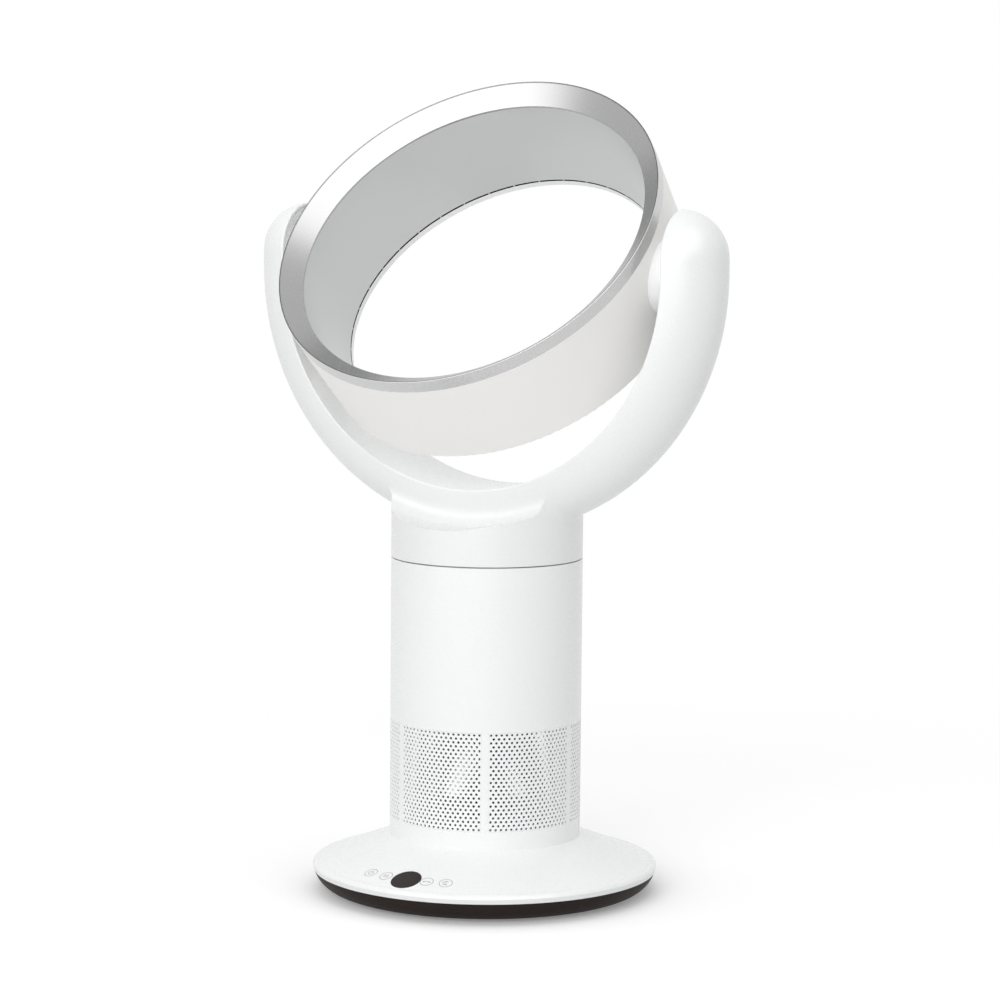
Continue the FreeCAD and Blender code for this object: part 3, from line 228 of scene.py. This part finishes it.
# milky and waxy, as light goes a little way in
acetal = mouldedPlastic("natural acetal, moulded", {
    "light": "#e9e8e2", "dark": "#e2e1da", "cloud": 30, "grain": 0.8, "grainDepth": 0.15, "sink": 30,
    "sinkDepth": 0.03, "rough": (0.3, 0.4), "ior": 1.48, "soft": 0.1, "softReach": (2.0, 2.0, 1.8)})
# soft grey-black without any highlight
rubber = mouldedPlastic("grey-black TPE, matt mould", {
    "light": "#2b2b2c", "dark": "#242425", "cloud": 15, "grain": 0.5, "grainDepth": 0.6, "sink": 20,
    "sinkDepth": 0.05, "rough": (0.65, 0.8), "ior": 1.5})
# thin flat grey lines
greyInk = mouldedPlastic("grey pad-printing ink", {
    "light": "#9c9c9d", "dark": "#8f8f90", "cloud": 3, "grain": 0.3, "grainDepth": 0.1, "sink": 5,
    "sinkDepth": 0.0, "rough": (0.5, 0.6), "ior": 1.5})

# Satin silver that runs from dark to white round the rim with what it reflects. The outer band has a painted
# reflection, paler than the bevel, and the fold between the two a painted dark line of shade.
silverLacquer = metal("silver metallic lacquer, satin, paler band", {
    "light": "#acacad", "dark": "#a6a5a6", "flake": 0.5, "flakeDepth": 0.0, "rough": (0.25, 0.3),
    "metallic": 1.0, "sprays": [
        # painted reflection: the paler outer band
        {"axis": "ring", "colour": "#c8c8c8", "outward": 1.0, "forward": 0.0},
        # painted shade: the dark line at the fold
        {"axis": "ring", "colour": "#4a4948", "outward": -0.122, "forward": 0.993, "limit": 0.885}]})
# an even pale grey with a faint sheen, and painted black shade where it looks into the ring's hollow
paleLacquer = metal("pale silver lacquer, matt, black behind", {
    "light": "#cfd0d0", "dark": "#cbcccc", "flake": 0.5, "flakeDepth": 0.0, "rough": (0.34, 0.4),
    "metallic": 0.35, "sprays": [{"axis": "ring", "colour": hollowShadeBlack, "outward": 1.0, "forward": -1.0}]})
# warm red metal, slightly dull
copperFoil = metal("copper touch pad, plated", {
    "light": "#c98f6a", "dark": "#b97f5c", "flake": 0.8, "flakeDepth": 0.2, "rough": (0.3, 0.4),
    "metallic": 1.0})
# cool bright metal with the fine turns of the tool
zincSteel = metal("zinc-plated steel, turned", {
    "light": "#b9bcbf", "dark": "#9ea2a6", "flake": 0.4, "flakeDepth": 0.3, "rough": (0.28, 0.4),
    "metallic": 1.0, "stretch": (1, 1, 0.1)})
# dark and rough, with the dents of the shot
castIron = metal("painted cast iron, shot-blasted", {
    "light": "#3b3d3f", "dark": "#2c2e30", "flake": 1.2, "flakeDepth": 0.8, "rough": (0.5, 0.65),
    "metallic": 0.2})
# glossy dark green with lighter tracks
solderMask = circuitBoard("glass-epoxy board, green mask", {
    "mask": "#1d5a36", "copper": "#3f8a57", "track": 14, "width": 0.012, "shift": 0.37, "rough": 0.35,
    "ior": 1.52})
print("materials made")

nodeFinish = {
    "base_cover": whiteAbs, "base_tray": darkAbs, "rubber_feet": rubber, "base_screws": zincSteel,
    "ballast_plate": castIron, "display_window": smokedAcrylic, "control_board": solderMask,
    "touch_pads": copperFoil, "power_board": solderMask, "power_parts": blackNylon, "cord_grommet": rubber,
    "intake_sleeve": intakeAbs, "intake_grilles": intakeAbs, "sleeve_screws": zincSteel,
    "column_tube": whiteAbs, "fan_duct": greyAbs, "duct_isolator": rubber, "motor_bucket": greyAbs,
    "bucket_cap": greyAbs, "fan_motor": zincSteel, "motor_shaft": zincSteel, "impeller": blackNylon,
    "swivel_deck": greyAbs, "deck_screws": zincSteel, "slide_ring": acetal, "swivel_motor": zincSteel,
    "swivel_bracket": greyAbs, "swivel_pinion": acetal, "head_plate": greyAbs, "head_screws": zincSteel,
    "swivel_gear": acetal, "swivel_clip": zincSteel, "yoke_shell": yokeShadedAbs, "yoke_cover": yokeShadedAbs,
    "front_rim": silverLacquer, "ring_shell": barrelAbs, "nozzle_wall": paleLacquer, "rear_lip": lipAbs,
    "slit_spacers": spacerAbs, "pivot_bush": acetal, "pivot_boss": whiteAbs, "trunnion": whiteAbs,
    "friction_washer": acetal, "pivot_retainer": zincSteel,
}
for name, piece in nodes.items():
    kind = name.replace("_left", "").replace("_right", "")
    for slot in piece.material_slots:
        slot.material = nodeFinish[kind]
print("frame finished,", len(nodes), "nodes")


# Perforated intake panels. Holes stand in long rows and, between them, in rows that are one hole shorter.
panels = {
    "count": 6, "radius": 72.2, "thickness": 0.8, "bottom": 57.45, "top": 130.95, "halfWidth": 34.98,
    "rows": 25, "rowPitch": 2.95, "firstRow": 59.1, "longRow": 18, "pitchAngle": 3.13, "holeWidth": 1.85,
    "footReach": 0.3,   # points this close above the bottom are drawn down to it
    "weld": 0.02, "doubles": 0.005, "sharpAngle": 40,
}
holeSides = 12  # one for each of the rectangle's corners and quarter points


def panelSizes():
    # the tree's inputs, worked out from what a user would change
    pitch = math.radians(panels["pitchAngle"]) * panels["radius"]
    rows, holes, rowPitch = panels["rows"], panels["longRow"], panels["rowPitch"]
    middle = panels["firstRow"] + (rows - 1) / 2 * rowPitch
    drop = panels["bottom"] - (panels["firstRow"] - rowPitch / 2)
    quarter = panels["holeWidth"] / 4
    sizes = {"Hole Radius": panels["holeWidth"] / 2, "Half Cell": pitch / 2, "Row Pitch": rowPitch,
             "Hole Step": (quarter, quarter, 1.0), "Cell Step": (pitch / 4, rowPitch / 2, 0.0),
             "Middle": (0.0, middle, 0.0), "Foot Line": panels["bottom"] + panels["footReach"],
             "Foot Drop": (0.0, drop, 0.0), "Low Corner": (-panels["halfWidth"], panels["bottom"], 0.0),
             "High Corner": (panels["halfWidth"], panels["top"], 0.0), "Weld": panels["weld"],
             "Thickness": panels["thickness"], "Column Radius": panels["radius"]}
    sizes |= {"Long Width": (holes - 1) * pitch, "Long Height": (rows - 1) * rowPitch,
              "Short Width": (holes - 2) * pitch, "Short Height": (rows - 3) * rowPitch,
              "Blank Width": (holes - 0.5) * pitch, "Blank Height": (rows - 3) * rowPitch}
    sizes = {name: [mm(part) for part in size] if isinstance(size, tuple) else mm(size)
             for name, size in sizes.items()}
    counts = {"Long Columns": holes, "Long Rows": (rows + 1) // 2, "Short Columns": holes - 1,
              "Short Rows": rows // 2, "Blank Columns": 2, "Blank Rows": rows // 2, "Panels": panels["count"]}
    return sizes | counts


def perforatedTree(finish, sizes):
    # One hole's cell is a ring of quads from the hole to its rectangle. The cells make a flat sheet, which
    # gets its edges and a thickness, is bent to the column and is set round it.
    tree = bpy.data.node_groups.new("perforated panels", "GeometryNodeTree")
    kinds = {int: "NodeSocketInt", float: "NodeSocketFloat", list: "NodeSocketVector"}
    for name, size in sizes.items():
        tree.interface.new_socket(name, in_out="INPUT", socket_type=kinds[type(size)])
    tree.interface.new_socket("Geometry", in_out="OUTPUT", socket_type="NodeSocketGeometry")
    given = addNode(tree, "NodeGroupInput").outputs
    place = addNode(tree, "GeometryNodeInputPosition")

    # a second loop of the hole's points goes out to the rectangle's corners and quarter points
    hole = addNode(tree, "GeometryNodeMeshCircle", {"fill_type": "NONE"}, Vertices=holeSides,
                   Radius=given["Hole Radius"])
    ring = addNode(tree, "GeometryNodeExtrudeMesh", {"mode": "EDGES"}, Mesh=hole, Offset_Scale=0.0)
    corner = place
    for operation, value in (("DIVIDE", given["Hole Step"]), ("ADD", (0.5, 0.5, 0.0)), ("FLOOR", (0, 0, 0)),
                             ("MAXIMUM", (-2, -1, 0)), ("MINIMUM", (2, 1, 0)),
                             ("MULTIPLY", given["Cell Step"])):
        corner = addNode(tree, "ShaderNodeVectorMath", {"operation": operation}, i0=corner, i1=value)
    cell = addNode(tree, "GeometryNodeSetPosition", Geometry=ring, Selection=ring.outputs["Top"],
                   Position=corner)

    # long rows, short rows, and half cells without a hole that close the short rows at both ends
    blank = addNode(tree, "GeometryNodeMeshGrid", Size_X=given["Half Cell"], Size_Y=given["Row Pitch"],
                    Vertices_X=3, Vertices_Y=3)
    joined = addNode(tree, "GeometryNodeJoinGeometry")
    for kind, unit in (("Long", cell), ("Short", cell), ("Blank", blank)):
        points = addNode(tree, "GeometryNodeMeshGrid", Size_X=given[kind + " Width"],
                         Size_Y=given[kind + " Height"], Vertices_X=given[kind + " Columns"],
                         Vertices_Y=given[kind + " Rows"])
        units = addNode(tree, "GeometryNodeInstanceOnPoints", Points=points, Instance=unit)
        tree.links.new(units.outputs[0], joined.inputs[0])
    sheet = addNode(tree, "GeometryNodeRealizeInstances", Geometry=joined)
    sheet = addNode(tree, "GeometryNodeMergeByDistance", Geometry=sheet, Distance=given["Weld"])
    sheet = addNode(tree, "GeometryNodeSetPosition", Geometry=sheet, Offset=given["Middle"])

    # the sheet's edges are drawn to the panel's own edges
    height = addNode(tree, "ShaderNodeSeparateXYZ", i0=place).outputs["Y"]
    atFoot = addNode(tree, "ShaderNodeMath", {"operation": "LESS_THAN"}, i0=height, i1=given["Foot Line"])
    sheet = addNode(tree, "GeometryNodeSetPosition", Geometry=sheet, Selection=atFoot,
                    Offset=given["Foot Drop"])
    inside = addNode(tree, "ShaderNodeVectorMath", {"operation": "MAXIMUM"}, i0=place, i1=given["Low Corner"])
    inside = addNode(tree, "ShaderNodeVectorMath", {"operation": "MINIMUM"}, i0=inside,
                     i1=given["High Corner"])
    sheet = addNode(tree, "GeometryNodeSetPosition", Geometry=sheet, Position=inside)

    # thickness: the sheet is pushed back, and a turned copy closes the front
    back = addNode(tree, "ShaderNodeCombineXYZ", Z=-1.0)
    walls = addNode(tree, "GeometryNodeExtrudeMesh", {"mode": "FACES"}, Mesh=sheet, Offset=back,
                    Offset_Scale=given["Thickness"], Individual=False)
    front = addNode(tree, "GeometryNodeFlipFaces", Mesh=sheet)
    solid = addNode(tree, "GeometryNodeJoinGeometry")
    for part in (walls, front):
        tree.links.new(part.outputs[0], solid.inputs[0])
    solid = addNode(tree, "GeometryNodeMergeByDistance", Geometry=solid, Distance=given["Weld"])

    # bent to the column: across becomes an angle round it, and depth a distance from its axis
    flat = addNode(tree, "ShaderNodeSeparateXYZ", i0=place).outputs
    turn = addNode(tree, "ShaderNodeMath", {"operation": "DIVIDE"}, i0=flat["X"], i1=given["Column Radius"])
    away = addNode(tree, "ShaderNodeMath", {"operation": "ADD"}, i0=flat["Z"], i1=given["Column Radius"])
    upright = addNode(tree, "ShaderNodeCombineXYZ", Y=away, Z=flat["Y"])
    bent = addNode(tree, "ShaderNodeVectorRotate", {"rotation_type": "Z_AXIS"}, Vector=upright, Angle=turn)
    panel = addNode(tree, "GeometryNodeSetPosition", Geometry=solid, Position=bent)

    # set round the column
    stations = addNode(tree, "GeometryNodePoints", Count=given["Panels"])
    step = addNode(tree, "ShaderNodeMath", {"operation": "DIVIDE"}, i0=math.tau, i1=given["Panels"])
    index = addNode(tree, "GeometryNodeInputIndex")
    angle = addNode(tree, "ShaderNodeMath", {"operation": "MULTIPLY"}, i0=index, i1=step)
    around = addNode(tree, "GeometryNodeInstanceOnPoints", Points=stations, Instance=panel,
                     Rotation=addNode(tree, "ShaderNodeCombineXYZ", Z=angle))
    whole = addNode(tree, "GeometryNodeRealizeInstances", Geometry=around)
    whole = addNode(tree, "GeometryNodeSetMaterial", Geometry=whole, Material=finish)
    addNode(tree, "NodeGroupOutput", Geometry=whole)
    return tree


def meshFromTree(name, tree, sizes):
    # runs a geometry tree with its inputs set by socket identifier, and keeps the result as a plain mesh
    holder = addObject(name + "Holder", bpy.data.meshes.new(name + "Holder"))
    modifier = holder.modifiers.new(name, "NODES")
    modifier.node_group = tree
    for item in tree.interface.items_tree:
        if item.in_out == "INPUT":
            modifier[item.identifier] = sizes[item.name]
    evaluated = holder.evaluated_get(bpy.context.evaluated_depsgraph_get())
    mesh = bpy.data.meshes.new_from_object(evaluated)
    holder.modifiers.remove(modifier)
    bpy.data.objects.remove(holder)
    return addObject(name, mesh)


def makeIntakePanels():
    sizes = panelSizes()
    piece = meshFromTree("intake_panels", perforatedTree(intakeAbs, sizes), sizes)
    body = bmesh.new()
    body.from_mesh(piece.data)
    bmesh.ops.remove_doubles(body, verts=body.verts, dist=mm(panels["doubles"]))
    bmesh.ops.recalc_face_normals(body, faces=body.faces)
    body.to_mesh(piece.data)
    body.free()
    piece.data.shade_smooth()
    piece.data.set_sharp_from_angle(angle=math.radians(panels["sharpAngle"]))
    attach(piece, "base")
    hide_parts("intake_grilles")
    print("intake panels:", len(piece.data.polygons), "faces")


makeIntakePanels()


# Printed touch icons. Each is drawn round its own middle: an arc is a radius, two angles, a count of steps
# and a centre, and a line is a list of points. The slope runs between two points, each a radius and a height.
icons = {
    "distance": 113.6, "line": 0.42, "ink": 0.05, "sunk": 0.02,
    "slopeFoot": (125.5, 23.2), "slopeTop": (72.2, 43.4), "circle": (4.9, 0, 350, 35),
    "power": {"angle": -17.2, "arc": (2.1, 125, 415, 24), "bar": [(0, 0.6), (0, 2.9)]},
    "waves": {"angle": -9.3, "shifts": (-1.7, 0.0, 1.7), "sway": 0.38, "low": -1.9, "rise": 0.475,
              "steps": 8},
    "swing": {"angle": 8.4, "tip": [(2.75, 0.5), (2.6, -0.75), (1.5, -0.65)],
              "bow": [(-2.6, -0.7), (-1.7, 0.15), (-0.6, 0.55), (0.6, 0.55), (1.7, 0.15), (2.6, -0.7)]},
    "night": {"angle": 15.8, "outer": (2.3, 60, 300, 24, (0.2, 0.0)),
              "inner": (1.95, 290, 70, 14, (1.35, 0.0))},
}


def arc(radius, start, end, steps, centre=(0.0, 0.0)):
    return [(centre[0] + radius * math.cos(math.radians(start + (end - start) * i / steps)),
             centre[1] + radius * math.sin(math.radians(start + (end - start) * i / steps)))
            for i in range(steps + 1)]


def onSlope(point, angle, lift):
    # a point drawn round an icon's middle, laid on the cone of the base's top
    (farR, lowZ), (nearR, highZ) = icons["slopeFoot"], icons["slopeTop"]
    lean = math.atan2(highZ - lowZ, farR - nearR)
    radius = icons["distance"] - point[1] * math.cos(lean) + lift * math.sin(lean)
    height = lowZ + (farR - icons["distance"]) * math.tan(lean) + point[1] * math.sin(lean)
    height += lift * math.cos(lean)
    turn = math.radians(angle) + point[0] / radius
    return Vector((mm(radius * math.sin(turn)), mm(-radius * math.cos(turn)), mm(height)))


def stroke(body, points, angle, closed=False):
    # a printed line: a strip of ink along the points, with square ends
    count = len(points)
    rings = []
    for i, (x, y) in enumerate(points):
        before = points[i - 1] if i or closed else points[i]
        after = points[(i + 1) % count] if i < count - 1 or closed else points[i]
        run, rise = after[0] - before[0], after[1] - before[1]
        size = math.hypot(run, rise) or 1.0
        off = (-rise / size * icons["line"] / 2, run / size * icons["line"] / 2)
        rings.append([body.verts.new(onSlope((x + side * off[0], y + side * off[1]), angle, lift))
                      for side, lift in ((1, -icons["sunk"]), (-1, -icons["sunk"]), (-1, icons["ink"]),
                                         (1, icons["ink"]))])
    for i in range(count if closed else count - 1):
        here, there = rings[i], rings[(i + 1) % count]
        for k in range(4):
            body.faces.new((here[k], here[(k + 1) % 4], there[(k + 1) % 4], there[k]))
    if not closed:
        body.faces.new(rings[0])
        body.faces.new(rings[-1])


def makeTouchIcons():
    body = bmesh.new()
    power, waves, swing, night = (icons[name] for name in ("power", "waves", "swing", "night"))
    for icon in (power, waves, swing, night):
        stroke(body, arc(*icons["circle"]), icon["angle"], closed=True)
    stroke(body, arc(*power["arc"]), power["angle"])
    stroke(body, power["bar"], power["angle"])
    steps = waves["steps"]
    for shift in waves["shifts"]:
        wave = [(shift + waves["sway"] * math.sin(step * math.tau / steps),
                 waves["low"] + step * waves["rise"]) for step in range(steps + 1)]
        stroke(body, wave, waves["angle"])
    stroke(body, swing["bow"], swing["angle"])
    for side in (-1, 1):
        stroke(body, [(side * x, y) for x, y in swing["tip"]], swing["angle"])
    stroke(body, arc(*night["outer"]) + arc(*night["inner"])[1:-1], night["angle"], closed=True)
    bmesh.ops.recalc_face_normals(body, faces=body.faces)
    mesh = bpy.data.meshes.new("touch_icons")
    body.to_mesh(mesh)
    body.free()
    mesh.materials.append(greyInk)
    piece = addObject("touch_icons", mesh)
    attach(piece, "base")
    print("touch icons:", len(mesh.polygons), "faces")


makeTouchIcons()


# Studio: a white paper floor, a white world, two soft lamps that only light, and two large diffusers that
# only show in gloss.
studio = {
    "floorSize": 12.0, "floorAlbedo": "#f2f2f2", "floorLift": 0.2, "plainFrom": 0.35, "plainTo": 1.0,
    "ambient": 0.63, "bounce": "#dcdcdc",
    "fibre": 2.0, "fibreDepth": 0.05, "fibreHeight": 0.05,  # paper fibres in millimetres, coarser than real
}
softboxes = {
    "key": {"place": (0.55, -2.5, 1.2), "aim": (0, 0, 0.35), "size": (2.0, 1.2), "power": 26,
            "diffuse": True, "gloss": False},
    "top": {"place": (0.0, -0.3, 5.0), "aim": (0, 0, 0.3), "size": (4.0, 4.0), "power": 61,
            "diffuse": True, "gloss": False},
    "screen": {"place": (0.15, -2.74, 1.03), "aim": (0.15, 0, 0.45), "size": (7.56, 2.97), "power": 130,
               "edge": (0.31, 0.19), "diffuse": False, "gloss": True},
    "side": {"place": (1.64, -1.22, 2.36), "aim": (0, 0, 0.45), "size": (3.9, 3.4), "power": 70,
             "edge": (0.24, 0.24), "diffuse": False, "gloss": True},
}
camera = {"place": (1.2296, -2.1191, 0.5550), "look": (-0.4958, 0.8621, -0.1049), "roll": 0.484,
          "lens": 117.95, "sensor": 36, "clip": (0.05, 50)}


def seenRays(tree):
    # one where the camera, a reflection or a clear piece looks, and nought where light only bounces
    rays = addNode(tree, "ShaderNodeLightPath").outputs
    seen = rays["Is Camera Ray"]
    for other in ("Is Glossy Ray", "Is Transmission Ray"):
        seen = addNode(tree, "ShaderNodeMath", {"operation": "MAXIMUM"}, i0=seen, i1=rays[other])
    return seen


def makeFloor():
    mesh = bpy.data.meshes.new("studio_floor")
    reach = studio["floorSize"] / 2
    mesh.from_pydata([(-reach, -reach, 0), (reach, -reach, 0), (reach, reach, 0), (-reach, reach, 0)], [],
                     [(0, 1, 2, 3)])
    # Matt white paper. Where it is seen it is lifted to white, and far from the fan it is plain white.
    material, tree = startMaterial("matt white paper")
    seen = seenRays(tree)
    place = addNode(tree, "ShaderNodeTexCoord").outputs["Object"]
    away = addNode(tree, "ShaderNodeVectorMath", {"operation": "LENGTH"}, i0=place).outputs["Value"]
    plain = addNode(tree, "ShaderNodeMapRange", {"interpolation_type": "SMOOTHSTEP"}, Value=away,
                    From_Min=studio["plainFrom"], From_Max=studio["plainTo"])
    far = addNode(tree, "ShaderNodeMath", {"operation": "MULTIPLY"}, i0=plain, i1=seen)
    lift = addNode(tree, "ShaderNodeMath", {"operation": "MULTIPLY"}, i0=seen, i1=studio["floorLift"])
    fibre = addNode(tree, "ShaderNodeTexNoise", Vector=place, Scale=1 / mm(studio["fibre"]))
    weave = addNode(tree, "ShaderNodeBump", Height=fibre, Strength=studio["fibreDepth"],
                    Distance=mm(studio["fibreHeight"]))
    shade = addNode(tree, "ShaderNodeMix", {"data_type": "RGBA"}, i0=seen, i6=linear(studio["bounce"]),
                    i7=linear(studio["floorAlbedo"])).outputs[2]
    paper = addNode(tree, "ShaderNodeBsdfDiffuse", Color=shade, Normal=weave)
    glow = addNode(tree, "ShaderNodeEmission", Strength=lift)
    lifted = addNode(tree, "ShaderNodeAddShader", i0=paper, i1=glow)
    white = addNode(tree, "ShaderNodeEmission", Strength=1.0)
    seenPaper = addNode(tree, "ShaderNodeMixShader", i0=far, i1=lifted, i2=white)
    addNode(tree, "ShaderNodeOutputMaterial", Surface=seenPaper)
    mesh.materials.append(material)
    floor = addObject("studio_floor", mesh)


def makeWorld():
    world = bpy.data.worlds.new("white studio")
    bpy.context.scene.world = world
    world.use_nodes = True
    tree = world.node_tree
    tree.nodes.clear()
    level = addNode(tree, "ShaderNodeMapRange", Value=seenRays(tree), To_Min=studio["ambient"], To_Max=1.0)
    sky = addNode(tree, "ShaderNodeBackground", Color=(1, 1, 1, 1), Strength=level)
    addNode(tree, "ShaderNodeOutputWorld", Surface=sky)


def fadeEdges(lamp, edge):
    # a large diffuser's light dies away over its outer part, which gives the silver soft-edged reflections
    lamp.use_nodes = True
    tree = lamp.node_tree
    tree.nodes.clear()
    across = addNode(tree, "ShaderNodeNewGeometry").outputs["Parametric"]
    across = addNode(tree, "ShaderNodeSeparateXYZ", i0=across).outputs
    level = 1.0
    for axis, share in zip("XY", edge):
        back = addNode(tree, "ShaderNodeMath", {"operation": "SUBTRACT"}, i0=1.0, i1=across[axis])
        near = addNode(tree, "ShaderNodeMath", {"operation": "MINIMUM"}, i0=across[axis], i1=back)
        fade = addNode(tree, "ShaderNodeMapRange", {"interpolation_type": "SMOOTHSTEP"}, Value=near,
                       From_Max=share)
        level = addNode(tree, "ShaderNodeMath", {"operation": "MULTIPLY"}, i0=level, i1=fade)
    glow = addNode(tree, "ShaderNodeEmission", Strength=level)
    addNode(tree, "ShaderNodeOutputLight", Surface=glow)


def makeSoftbox(name, box):
    lamp = bpy.data.lights.new(name, "AREA")
    lamp.shape = "RECTANGLE"
    lamp.size, lamp.size_y = box["size"]
    lamp.energy = box["power"]
    holder = addObject(name, lamp)
    holder.location = box["place"]
    look = Vector(box["aim"]) - Vector(box["place"])
    holder.rotation_euler = look.to_track_quat("-Z", "Y").to_euler()
    holder.visible_camera = False
    holder.visible_diffuse = box["diffuse"]
    holder.visible_glossy = box["gloss"]
    if box["gloss"]:
        fadeEdges(lamp, box["edge"])


def makeCamera():
    data = bpy.data.cameras.new("camera")
    data.lens = camera["lens"]
    data.sensor_width = camera["sensor"]
    data.clip_start, data.clip_end = camera["clip"]
    holder = addObject("camera", data)
    look = Vector(camera["look"]).normalized()
    right = look.cross(Vector((0, 0, 1))).normalized()
    up = right.cross(look)
    roll = math.radians(camera["roll"])
    across = right * math.cos(roll) + up * math.sin(roll)
    upright = up * math.cos(roll) - right * math.sin(roll)
    turn = Matrix((across, upright, -look)).transposed().to_4x4()
    holder.matrix_world = Matrix.Translation(camera["place"]) @ turn
    bpy.context.scene.camera = holder


makeCamera()
makeFloor()
makeWorld()
for name, box in softboxes.items():
    makeSoftbox(name, box)
bpy.context.scene.view_settings.view_transform = "Standard"
print("studio set")
